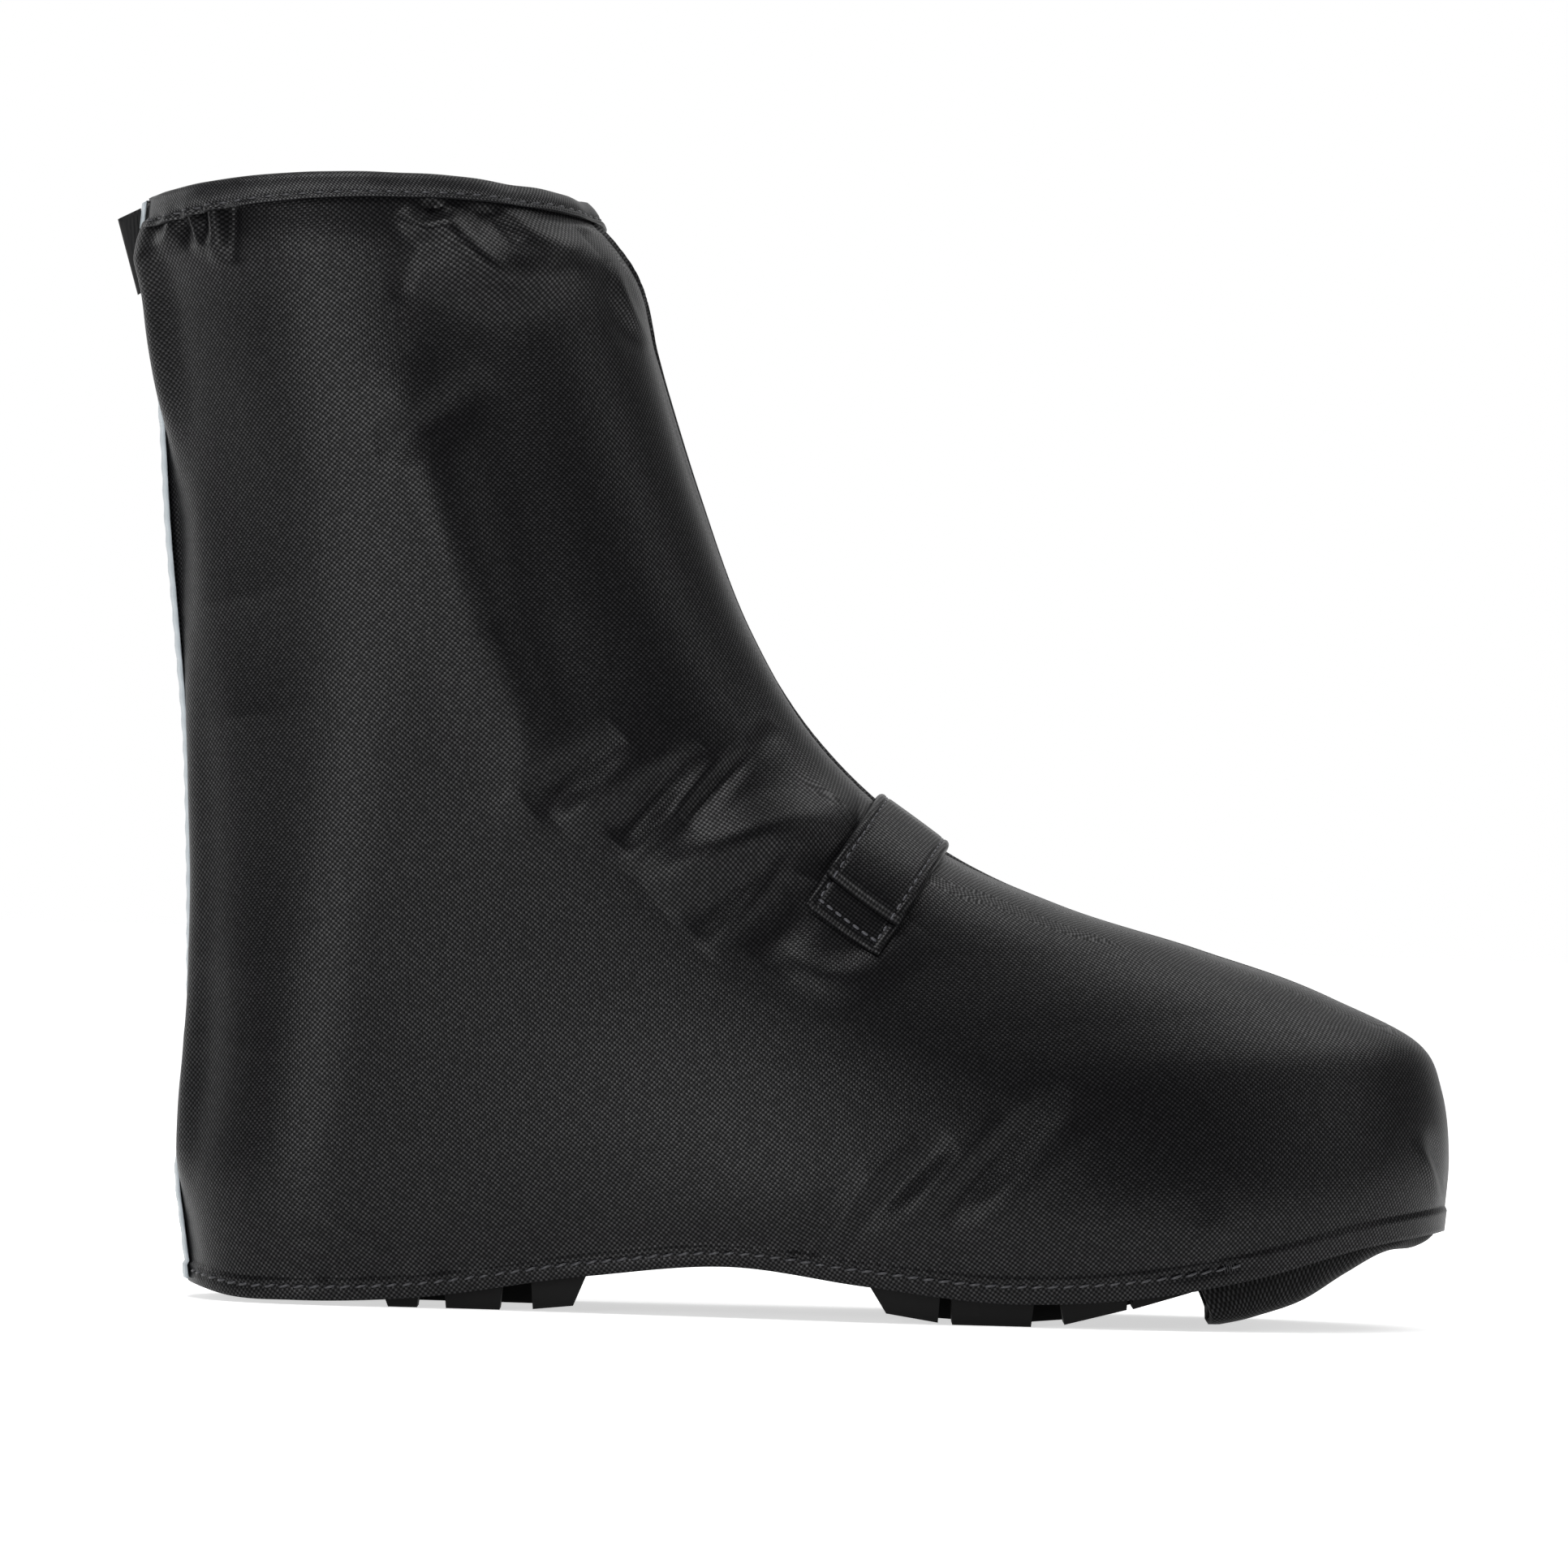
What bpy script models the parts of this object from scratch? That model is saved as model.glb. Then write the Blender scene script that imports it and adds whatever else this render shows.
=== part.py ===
"""Cycling overshoe for the right foot: a hollow fabric upper on a lugged rubber sole.

Sizes are in millimetres and the objects are built in metres, +Z up. +X points to the
toe and -Y to the outer side. In the tables x runs from the back of the heel to the toe.
"""
import math
from collections import namedtuple

import bmesh
import bpy
import numpy as np

MM = 0.001

# Overall sizes
LENGTH = 306.0
BALL_WIDTH = 112.0
HEEL_WIDTH = 86.0
INSTEP_HEIGHT = 120.0
COLLAR_HEIGHT = 263.0
TAB_REACH = 20.6
Y_CENTRE = -2.0

# Cloth and its edges
WALL = 1.5
GAP = 0.3
HEM_LEVEL = 0.016
HEM_STEP = 0.6
SEAM_RAISE = 0.6
SEAM_SHARE = 0.0035
COLLAR_RISE = 5.5
HEM_FADE = 0.32

# Trim
BINDING_LEVEL = 0.974
BINDING_THICK = 1.1
STRIP_HALF = 11.0
STRIP_THICK = 0.6
TAPE_THICK = 0.8
TAPE_SLOT = 0.5
STRAP_HALF = 10.7
STRAP_THICK = 1.3
TAB_THICK = 1.0
STRAP_X = 173.6
STRAP_Z = 117.5
STRAP_TILT = math.radians(57.8)

# Sole
LUG_INSET = 2.5
LUG_SHARE = 0.42
LUG_DRAFT = 1.2
POCKET_THICK = 1.2
POCKET_REAR = 246.0
POCKET_RIM = 5.0

# Mesh
SIDE_COLUMNS = 31
COLUMN_POWER = 1.15
OUTLINE_STEPS = 320
UPPER_LEVELS = [0.0, HEM_LEVEL, HEM_LEVEL + 0.003, 0.04, 0.065, 0.10, 0.14, 0.18, 0.225, 0.27, 0.32, 0.37,
                0.42, 0.47, 0.52, 0.57, 0.62, 0.68, 0.74, 0.80, 0.86, 0.92, BINDING_LEVEL, 1.0]

X_CENTRE = 0.5 * (LENGTH - TAB_REACH)

# Sections from the hem (level 0) to the collar (level 1). Each lies in the plane through a
# point of the back line and a point of the front line. ball and heel are shares of the two
# widths, and heel_round and toe_round are the lengths over which the ends close.
Section = namedtuple("Section", "level back_x back_z front_x front_z ball heel heel_round toe_round")
SECTIONS = [
    Section(0.00, 4.0, 5.0, LENGTH - 1.2, 24.0, 0.92, 0.88, 37, 78),
    Section(0.05, 2.0, 18.0, LENGTH, 41.0, 1.00, 0.95, 39, 86),
    Section(0.10, 0.4, 30.5, LENGTH - 2.2, 57.5, 0.98, 0.98, 40, 95),
    Section(0.15, 1.4, 43.5, 297.5, 69.2, 0.94, 0.99, 41, 108),
    Section(0.20, 2.2, 56.0, 277.0, 79.4, 0.88, 0.99, 42, 122),
    Section(0.30, 1.8, 82.0, 244.2, 89.8, 0.80, 0.98, 44, 132),
    Section(0.40, 0.9, 108.0, 210.7, 99.5, 0.78, 0.98, 48, 122),
    Section(0.50, -0.6, 134.0, 179.5, INSTEP_HEIGHT - 7.0, 0.79, 1.01, 54, 108),
    Section(0.60, -3.4, 159.5, 152.6, INSTEP_HEIGHT + 15.2, 0.81, 1.04, 62, 90),
    Section(0.70, -6.3, 185.0, 134.1, 163.5, 0.84, 1.08, 68, 73),
    Section(0.80, -8.4, 210.5, 120.8, 196.2, 0.86, 1.11, 65, 66),
    Section(0.90, -11.4, 236.1, 109.6, 229.3, 0.87, 1.13, 61, 62),
    Section(0.96, -13.3, 252.0, 103.2, 249.3, 0.86, 1.12, 58, 59),
    Section(1.00, -12.8, COLLAR_HEIGHT - 1.2, 91.0, COLLAR_HEIGHT + 1.0, 0.82, 1.07, 51, 52),
]
LEVELS = [row.level for row in SECTIONS]
HEEL_POWER = 2.2
TOE_POWER = 2.15

# Height of the hem edge along the foot, and the sideways curve of the last.
Edge = namedtuple("Edge", "x z")
HEM = [Edge(4, 4.2), Edge(14, 1.7), Edge(30, 1.2), Edge(55, 2.2), Edge(100, 9.0), Edge(134, 12.3), Edge(165, 8.8),
       Edge(200, 5.6), Edge(230, 7.4), Edge(258, 12.7), Edge(285, 20.5), Edge(304, 24.0)]
Swing = namedtuple("Swing", "x y")
LAST = [Swing(-25, 0), Swing(80, 0), Swing(130, -1.5), Swing(190, -3), Swing(245, 0.5), Swing(306, 9)]

# Sole plate: height of its top and of its underside along the foot.
Plate = namedtuple("Plate", "x top under")
PLATE = [Plate(2, 20, 9), Plate(30, 20, 6.5), Plate(75, 20, 6.5), Plate(102, 21.5, 11), Plate(135, 22, 15.5),
         Plate(163, 20, 11.5), Plate(190, 17.5, 7), Plate(215, 17.5, 7), Plate(245, 21, 13),
         Plate(270, 27, 19.5), Plate(304, 36, 28)]

# Lugs: span of the ground face, its height at both ends, and how much longer the top is.
Lug = namedtuple("Lug", "x_0 x_1 z_0 z_1 flare_0 flare_1")
LUGS = [Lug(12, 30, 7.5, 3.4, 1, 1), Lug(34, 47, 2.8, 2.4, 1, 1), Lug(52.5, 59.4, 0, 0, 3, 0.8),
        Lug(66.3, 79.1, 0, 0, 0.8, 0.8), Lug(87, 96.6, 0.4, 1.5, 0.8, 4.6), Lug(171, 183.3, 2.2, 0.4, 7.2, 0.5),
        Lug(186.7, 205.4, 0, 0, 0.5, 0.8), Lug(213.3, 228, 0.7, 4.6, 1.5, 0.3),
        Lug(229.5, 243.2, 4.8, 9.0, 0.3, 0.6)]
MID_LUGS = [Lug(56, 66.9, 1.0, 1.0, 2, 0), Lug(67.5, 77.9, 0, 0, 0, 0), Lug(78.5, 92, 1.0, 1.0, 0, 3),
            Lug(179, 191, 0.6, 0, 2, 1), Lug(194, 204.4, 0, 0, 1, 0), Lug(205, 214.5, 0, 0.9, 0, 1),
            Lug(217.5, 232, 2.0, 5.4, 1, 1)]
MID_SHARE = 0.30

# Underside of the toe pocket.
POCKET = [Edge(246, 1.5), Edge(258, 3.6), Edge(270, 7.4), Edge(281, 14.2), Edge(291, 19.3), Edge(297, 19.8),
          Edge(304, 22.3)]
PocketRow = namedtuple("PocketRow", "inset drop")
POCKET_ROWS = [PocketRow(0.0, 0.0), PocketRow(0.3, 0.5), PocketRow(1.0, 0.82), PocketRow(3.0, 0.96),
               PocketRow(8.0, 1.0)]


def smooth(xs, ys, x):
    """Cubic curve through the points of a table, read at x."""
    xs = np.asarray(xs, float)
    ys = np.asarray(ys, float)
    x = np.clip(x, xs[0], xs[-1])
    i = np.clip(np.searchsorted(xs, x) - 1, 0, len(xs) - 2)
    slope = np.gradient(ys, xs)
    step = xs[i + 1] - xs[i]
    t = (x - xs[i]) / step
    return (ys[i] * (1 + 2 * t) * (1 - t) ** 2 + slope[i] * step * t * (1 - t) ** 2
            + ys[i + 1] * t * t * (3 - 2 * t) - slope[i + 1] * step * t * t * (1 - t))


def column(table, name):
    """One named column of a table."""
    return [getattr(row, name) for row in table]


def along(table, name, x):
    """A table's column read at x."""
    return smooth(column(table, "x"), column(table, name), x)


def ease(t):
    """Rise from 0 to 1 without corners."""
    t = np.clip(t, 0.0, 1.0)
    return t * t * (3 - 2 * t)


def outline(row):
    """Chord share and half width down one side of a section, from its front to its back."""
    length = math.hypot(row.front_x - row.back_x, row.front_z - row.back_z)
    chord = 0.5 + 0.5 * np.cos(np.linspace(0, math.pi, OUTLINE_STEPS))
    ball = 0.5 * BALL_WIDTH * row.ball
    heel = 0.5 * HEEL_WIDTH * row.heel
    body = heel + (ball - heel) * ease((chord - 0.18) / 0.47)
    back = 1 - np.minimum(chord * length / row.heel_round, 1)
    front = 1 - np.minimum((1 - chord) * length / row.toe_round, 1)
    width = body * (1 - back ** HEEL_POWER) ** (1 / HEEL_POWER) * (1 - front ** TOE_POWER) ** (1 / TOE_POWER)
    run = np.concatenate([[0], np.cumsum(np.hypot(np.diff(chord) * length, np.diff(width)))])
    return chord, width, run


def skin(around, level):
    """Points of the upper's outer face at one level; around is 0 at the toe seam, 0.5 at the back."""
    row = Section(level, *(float(smooth(LEVELS, column(SECTIONS, name), level)) for name in Section._fields[1:]))
    chord, width, run = outline(row)
    around = np.mod(around, 1.0)
    share = run[-1] * (1 - np.abs(1 - 2 * around))
    s = np.interp(share, run, chord)
    w = np.interp(share, run, width)
    x = row.back_x + s * (row.front_x - row.back_x)
    z = row.back_z + s * (row.front_z - row.back_z)
    first = SECTIONS[0]
    slope = (first.front_z - first.back_z) / (first.front_x - first.back_x)
    fall = along(HEM, "z", x) - first.back_z - (x - first.back_x) * slope
    z = z + fall * max(0.0, 1 - level / HEM_FADE) ** 2
    z = z + COLLAR_RISE * (w / width.max()) ** 2 * ease((level - 0.8) / 0.2)
    y = np.where(around > 0.5, w, -w) + along(LAST, "y", x)
    return np.stack([x, y, z], axis=-1)


def girth(level):
    """Way round a section."""
    ring = skin(np.linspace(0, 1, 361), level)
    return float(np.linalg.norm(np.diff(ring, axis=0), axis=1).sum())


def unit(v):
    """Vectors of length one."""
    return v / np.linalg.norm(v, axis=-1, keepdims=True)


def shell(around, level, lift=0.0, rise=0.0):
    """Points at a distance lift off the outer face, and rise beyond the level along the face."""
    around = np.asarray(around, float)
    turn = skin(around + 0.002, level) - skin(around - 0.002, level)
    climb = unit(skin(around, min(level + 0.004, 1.0)) - skin(around, max(level - 0.004, 0.0)))
    out = unit(np.cross(climb, turn))
    lift = np.broadcast_to(np.asarray(lift, float), around.shape)
    return skin(around, level) + out * lift[:, None] + climb * rise


def level_where(around, target, low, high):
    """Level of each column where target(points) turns from negative to positive."""
    found = []
    for a in np.asarray(around, float):
        lo, hi = low, high
        for _ in range(16):
            middle = 0.5 * (lo + hi)
            if target(skin(np.array([a]), middle))[0] < 0:
                lo = middle
            else:
                hi = middle
        found.append(0.5 * (lo + hi))
    return np.array(found)


def shell_each(around, levels, lift):
    """Points off the outer face with a level for each column."""
    lift = np.broadcast_to(np.asarray(lift, float), np.shape(around))
    return np.array([shell([a], v, d)[0] for a, v, d in zip(around, levels, lift)])


def hem_lift(level):
    """Height of the turned hem's step over the wall."""
    return HEM_STEP if level <= HEM_LEVEL else 0.0


def ring_columns():
    """Columns round the upper: closer together at the toe, with a pair beside the front seam."""
    side = 0.5 * np.linspace(0, 1, SIDE_COLUMNS + 1) ** COLUMN_POWER
    side = np.concatenate([[0.0, SEAM_SHARE], side[1:]])
    return np.concatenate([side, 1 - side[-2:0:-1]])


def make_object(name, points, faces, colour):
    """Closed mesh object from points in millimetres."""
    mesh = bpy.data.meshes.new(name)
    points = (np.asarray(points, float) - (X_CENTRE, Y_CENTRE, 0.0)) * MM
    mesh.from_pydata(points.tolist(), [], [list(map(int, face)) for face in faces])
    work = bmesh.new()
    work.from_mesh(mesh)
    bmesh.ops.recalc_face_normals(work, faces=work.faces)
    work.to_mesh(mesh)
    work.free()
    thing = bpy.data.objects.new(name, mesh)
    bpy.context.scene.collection.objects.link(thing)
    material = bpy.data.materials.new(name + "_material")
    material.use_nodes = True
    material.node_tree.nodes["Principled BSDF"].inputs["Base Color"].default_value = colour
    mesh.materials.append(material)
    return thing


def loft(name, grid, colour, ring_rows=False, ring_columns_closed=False):
    """Solid from a grid of points: each row is a closed or open profile, and open ends are capped."""
    rows, cols = len(grid), len(grid[0])
    points = [p for row in grid for p in row]
    faces = []
    for i in range(rows if ring_rows else rows - 1):
        k = (i + 1) % rows
        for j in range(cols if ring_columns_closed else cols - 1):
            m = (j + 1) % cols
            faces.append((i * cols + j, i * cols + m, k * cols + m, k * cols + j))
    if not ring_rows:
        faces.append(range(cols))
        faces.append(range((rows - 1) * cols, rows * cols))
    return make_object(name, points, faces, colour)


def slab(name, lower, upper, colour):
    """Solid between two open sheets of points with the same grid."""
    rows, cols = len(lower), len(lower[0])
    count = rows * cols
    points = [p for sheet in (lower, upper) for row in sheet for p in row]
    faces = []
    for i in range(rows - 1):
        for j in range(cols - 1):
            a = i * cols + j
            faces.append((a, a + 1, a + cols + 1, a + cols))
            faces.append(tuple(count + k for k in (a, a + cols, a + cols + 1, a + 1)))
    rim = [j for j in range(cols)]
    rim += [i * cols + cols - 1 for i in range(1, rows)]
    rim += [(rows - 1) * cols + j for j in range(cols - 2, -1, -1)]
    rim += [i * cols for i in range(rows - 2, 0, -1)]
    for a, b in zip(rim, rim[1:] + rim[:1]):
        faces.append((a, b, b + count, a + count))
    return make_object(name, points, faces, colour)


def build_upper(columns):
    """One hollow wall, open at the collar and underneath, with the hem as a step."""
    seam = np.where(columns == 0.0, SEAM_RAISE, 0.0)
    outer = [shell(columns, v, seam + hem_lift(v)) for v in UPPER_LEVELS]
    inner = [shell(columns, v, -WALL) for v in UPPER_LEVELS if v != HEM_LEVEL]
    loft("upper", outer + inner[::-1], BLACK_CLOTH, ring_rows=True, ring_columns_closed=True)


def channel(name, columns, levels, lift, gap, thick, colour):
    """Folded band over the collar edge: an outside leg down the given levels and a short inside leg."""
    inside = WALL + gap
    grid = []
    for v in levels:
        grid.append(shell(columns, v, lift(v) + gap + thick))
    grid.append(shell(columns, 1.0, 0.5 * gap, gap + 0.9 * thick))
    grid.append(shell(columns, 1.0, -WALL - 0.5 * gap, gap + 0.9 * thick))
    grid.append(shell(columns, 1.0, -inside - thick))
    grid.append(shell(columns, BINDING_LEVEL, -inside - thick))
    grid.append(shell(columns, BINDING_LEVEL, -inside))
    grid.append(shell(columns, 1.0, -inside, gap))
    grid.append(shell(columns, 1.0, lift(1.0) + gap, gap))
    for v in levels[::-1][1:]:
        grid.append(shell(columns, v, lift(v) + gap))
    profile = np.swapaxes(np.array(grid), 0, 1)
    loft(name, profile, colour, ring_rows=False, ring_columns_closed=True)


def build_collar_binding(columns):
    """Gathered edge binding, open at the back where the strip runs over the edge."""
    end = (STRIP_HALF + GAP) / girth(1.0)
    kept = np.array([a for a in columns if abs(a - 0.5) > end + 0.004])
    kept = np.sort(np.where(kept > 0.5, kept - 1.0, kept))
    kept = np.concatenate([[-0.5 + end], kept, [0.5 - end]])
    seam = lambda v: np.where(kept == 0.0, SEAM_RAISE, 0.0)
    channel("collar_binding", kept, [BINDING_LEVEL, 1.0], seam, GAP, BINDING_THICK, BLACK_BINDING)


def build_reflective_strip():
    """Strip down the centre of the back, from over the collar edge to the hem."""
    across = np.array([-1.0, -0.5, 0.0, 0.5, 1.0])
    levels = [v for v in UPPER_LEVELS if v < 1.0] + [1.0]
    levels[0] = 0.003
    inside = WALL + GAP
    rows = []

    def strip(v, lift, rise=0.0):
        return shell(0.5 + across * STRIP_HALF / girth(v), v, lift, rise)

    for v in levels:
        rows.append(strip(v, hem_lift(v) + GAP + STRIP_THICK))
    rows.append(strip(1.0, -0.5 * WALL, GAP + STRIP_THICK + 0.2))
    rows.append(strip(1.0, -inside - STRIP_THICK))
    rows.append(strip(BINDING_LEVEL, -inside - STRIP_THICK))
    under = []
    for v in levels:
        under.append(strip(v, hem_lift(v) + GAP, GAP if v == 1.0 else 0.0))
    under.append(strip(1.0, -0.5 * WALL, GAP + 0.1))
    under.append(strip(1.0, -inside, GAP))
    under.append(strip(BINDING_LEVEL, -inside))
    slab("reflective_strip", under, rows, PALE_STRIP)


def build_pull_loop():
    """Tape folded in half behind the collar, its fold pointing backwards."""
    top_root, low_root = (-15.1, 261.0), (-13.5, 241.4)
    top_fold, low_fold = (-TAB_REACH, 258.2), (-15.3, 240.2)
    bend = TAPE_SLOT + TAPE_THICK
    grid = []
    for root, fold in ((top_root, top_fold), (low_root, low_fold)):
        root, fold = np.array(root), np.array(fold)
        reach = np.linalg.norm(fold - root)
        forward = (fold - root) / reach
        outer = [(0.0, bend), (reach - bend, bend)]
        inner = [(0.0, TAPE_SLOT), (reach - bend, TAPE_SLOT)]
        for turn in (45, 0, -45):
            a = math.radians(turn)
            outer.append((reach - bend + bend * math.cos(a), bend * math.sin(a)))
            inner.append((reach - bend + TAPE_SLOT * math.cos(a), TAPE_SLOT * math.sin(a)))
        outer += [(reach - bend, -bend), (0.0, -bend)]
        inner += [(reach - bend, -TAPE_SLOT), (0.0, -TAPE_SLOT)]
        profile = outer + inner[::-1]
        grid.append([(root[0] + d * forward[0], y, root[1] + d * forward[1]) for d, y in profile])
    loft("pull_loop", grid, BLACK_WEBBING, ring_rows=False, ring_columns_closed=True)


def strap_sheet(start, end, steps, lifts):
    """Sheets over the instep from a drop on the outer side to one on the inner side.

    start and end are distances down the two sides, outer side negative; lifts gives the
    heights of the two faces for the distance along the strap from the ridge.
    """
    down = np.array([-math.cos(STRAP_TILT), 0.0, -math.sin(STRAP_TILT)])
    ahead = np.array([math.sin(STRAP_TILT), 0.0, -math.cos(STRAP_TILT)])
    ridge = np.array([STRAP_X, 0.0, STRAP_Z])
    trace = np.linspace(-0.22, 0.22, 67)
    lower, upper = [], []
    for side in np.linspace(-STRAP_HALF, STRAP_HALF, 5):
        level = level_where(trace, lambda p: side - (p - ridge) @ ahead, 0.2, 0.85)
        path = shell_each(trace, level, 0.0)
        top = int(np.argmin(np.abs(trace)))
        run = np.concatenate([[0], np.cumsum(np.linalg.norm(np.diff(path, axis=0), axis=1))])
        run = run - run[top]
        drop = (path - path[top]) @ down
        # The outer side has positive shares round, so the strap runs from there to the inner side.
        first = np.interp(-start, drop[top:], run[top:])
        last = np.interp(end, drop[:top + 1][::-1], run[:top + 1][::-1]) if end > 0 else \
            np.interp(-end, drop[top:], run[top:])
        stops = np.linspace(first, last, steps)
        shares = np.interp(stops, run, trace)
        spots = np.interp(stops, run, level)
        pair = lifts(stops)
        lower.append(shell_each(shares, spots, pair[0]))
        upper.append(shell_each(shares, spots, pair[1]))
    return lower, upper


def build_strap():
    """Closing strap over the instep and the sewn tab that its outer end lies on."""
    def tab_lifts(run):
        base = np.full(run.shape, 0.5)
        return base, base + TAB_THICK

    def strap_lifts(run):
        over_tab = ease((run - 6.0) / 6.0)
        over_seam = ease((run + 24.0) / 14.0)
        base = 0.5 + 0.55 * over_seam + (TAB_THICK + GAP - 0.55) * over_tab
        return base, base + STRAP_THICK

    lower, upper = strap_sheet(-29.5, -9.0, 7, tab_lifts)
    slab("strap_tab", lower, upper, BLACK_CLOTH)
    lower, upper = strap_sheet(-21.5, 34.0, 19, strap_lifts)
    slab("instep_strap", lower, upper, BLACK_CLOTH)


def sole_inset(x):
    """Distance of the sole's side from the upper's outer face: wider where the toe pocket lies between."""
    return WALL + GAP + (POCKET_THICK + GAP + 0.2) * ease((x - 232.0) / 10.0)


def side_ring(columns, height, inset):
    """Ring inside the upper at a height given along the foot."""
    level = level_where(columns, lambda p: p[:, 2] - height(p[:, 0]), 0.0, 0.16)
    x = shell_each(columns, level, 0.0)[:, 0]
    ring = shell_each(columns, level, -inset(x))
    ring[:, 2] = height(ring[:, 0])
    return ring


def build_outsole(columns):
    """Sole plate that closes the upper, with the lugs joined under it."""
    top = side_ring(columns, lambda x: along(PLATE, "top", x), sole_inset)
    low = side_ring(columns, lambda x: along(PLATE, "under", x), sole_inset)
    count = len(columns)
    points = list(top) + list(low)
    faces = []
    for j in range(count):
        k = (j + 1) % count
        faces.append((j, k, count + k, count + j))
    half = count // 2
    for base in (0, count):
        faces.append((base, base + 1, base + count - 1))
        for j in range(1, half - 1):
            faces.append((base + j, base + j + 1, base + count - j - 1, base + count - j))
        faces.append((base + half - 1, base + half, base + half + 1))
    sole = make_object("outsole", points, faces, BLACK_RUBBER)

    edge = low[np.argsort(low[:, 0])]
    outer_side = edge[edge[:, 1] < along(LAST, "y", edge[:, 0])]
    inner_side = edge[edge[:, 1] >= along(LAST, "y", edge[:, 0])]

    def across(x, share):
        """Place across the sole: -1 at its outer edge, 0 in the middle, 1 at its inner edge."""
        a = np.interp(x, outer_side[:, 0], outer_side[:, 1])
        b = np.interp(x, inner_side[:, 0], inner_side[:, 1])
        middle = 0.5 * (a + b)
        return middle + share * (0.5 * (b - a) - LUG_INSET)

    lug_points, lug_faces = [], []

    def add_lug(lug, near, far, edge_draft):
        """Block from the ground face up into the plate, between two shares across the sole."""
        steps = 4
        start = len(lug_points)
        for t in np.linspace(0, 1, steps):
            ground_x = lug.x_0 + t * (lug.x_1 - lug.x_0)
            ground_z = lug.z_0 + t * (lug.z_1 - lug.z_0)
            top_x = ground_x - lug.flare_0 * (1 - t) + lug.flare_1 * t
            top_z = float(along(PLATE, "under", top_x)) + 2.0
            y_near, y_far = across(ground_x, near), across(ground_x, far)
            draft = edge_draft * math.copysign(1.0, y_near - y_far)
            lug_points.append((ground_x, y_near - draft, ground_z))
            lug_points.append((ground_x, y_far + draft, ground_z))
            lug_points.append((top_x, across(top_x, far), top_z))
            lug_points.append((top_x, across(top_x, near), top_z))
        for i in range(steps - 1):
            for j in range(4):
                a, b = start + 4 * i + j, start + 4 * i + (j + 1) % 4
                lug_faces.append((a, b, b + 4, a + 4))
        lug_faces.append(range(start, start + 4))
        lug_faces.append(range(start + 4 * (steps - 1), start + 4 * steps))

    for lug in LUGS:
        for side in (-1.0, 1.0):
            add_lug(lug, side, side * LUG_SHARE, LUG_DRAFT)
    for lug in MID_LUGS:
        add_lug(lug, -MID_SHARE, MID_SHARE, -LUG_DRAFT)
    blocks = make_object("lug_blocks", lug_points, lug_faces, BLACK_RUBBER)
    blocks.hide_render = True
    blocks.display_type = "WIRE"
    join = sole.modifiers.new("lugs", "BOOLEAN")
    join.operation = "UNION"
    join.solver = "EXACT"
    join.object = blocks


def build_toe_pocket(columns):
    """Cloth cup under the toe, its rim tucked between the hem and the sole."""
    fine = np.linspace(0.0, 0.25, 251)
    rear = float(np.interp(-POCKET_REAR, -skin(fine, 0.0)[:, 0], fine))
    side = [a for a in columns if 0.0 < a < rear - 0.004] + [rear]
    toe = np.array([-a for a in side[::-1]] + [0.0] + side)
    tuck = WALL + GAP + 0.1
    rim = side_ring(toe, lambda x: along(HEM, "z", x) + POCKET_RIM, lambda x: np.full(np.shape(x), tuck))
    mouth = shell(toe, 0.0, -tuck)
    heading = np.gradient(mouth[:, :2], axis=0)
    inward = unit(np.stack([heading[:, 1], -heading[:, 0]], axis=-1))
    sheets = []
    for extra in (0.0, POCKET_THICK):
        top = rim.copy()
        top[:, :2] += inward * extra
        sheet = [top]
        for row in POCKET_ROWS:
            spot = mouth.copy()
            spot[:, :2] += inward * (row.inset + extra)
            floor = along(POCKET, "z", spot[:, 0]) + extra
            spot[:, 2] += (floor - mouth[:, 2]) * row.drop
            sheet.append(spot)
        sheets.append(sheet)
    count = len(toe)
    rows = len(sheets[0])
    size = rows * count
    points = [p for sheet in sheets for row in sheet for p in row]
    faces = []
    for base in (0, size):
        for i in range(rows - 1):
            for j in range(count - 1):
                a = base + i * count + j
                faces.append((a, a + 1, a + count + 1, a + count))
        last = base + (rows - 1) * count
        half = count // 2
        for j in range(half - 1):
            faces.append((last + j, last + j + 1, last + count - 2 - j, last + count - 1 - j))
        faces.append((last + half - 1, last + half, last + half + 1))
    rim_loop = list(range(count)) + [i * count + count - 1 for i in range(1, rows)]
    rim_loop += [i * count for i in range(rows - 1, 0, -1)]
    for a, b in zip(rim_loop, rim_loop[1:] + rim_loop[:1]):
        faces.append((a, b, b + size, a + size))
    make_object("toe_pocket", points, faces, BLACK_CLOTH)


BLACK_CLOTH = (0.014, 0.014, 0.016, 1.0)
BLACK_BINDING = (0.020, 0.020, 0.022, 1.0)
BLACK_WEBBING = (0.018, 0.018, 0.019, 1.0)
BLACK_RUBBER = (0.008, 0.008, 0.008, 1.0)
PALE_STRIP = (0.68, 0.74, 0.77, 1.0)

for old in list(bpy.data.objects):
    bpy.data.objects.remove(old, do_unlink=True)

ring = ring_columns()
build_upper(ring)
build_collar_binding(ring)
build_reflective_strip()
build_pull_loop()
build_strap()
build_outsole(ring)
build_toe_pocket(ring)
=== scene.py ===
"""Looks of a black cloth cycling overshoe for the right foot, photographed from its outer side.

Lengths are millimetres in the shoe's own frame: x from the back of the heel to the toe,
y to the inner side, z up from the floor. They become metres when a mesh is made.
"""
import math
from collections import namedtuple

import bmesh
import bpy
import numpy as np
from mathutils import Matrix, Vector


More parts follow.
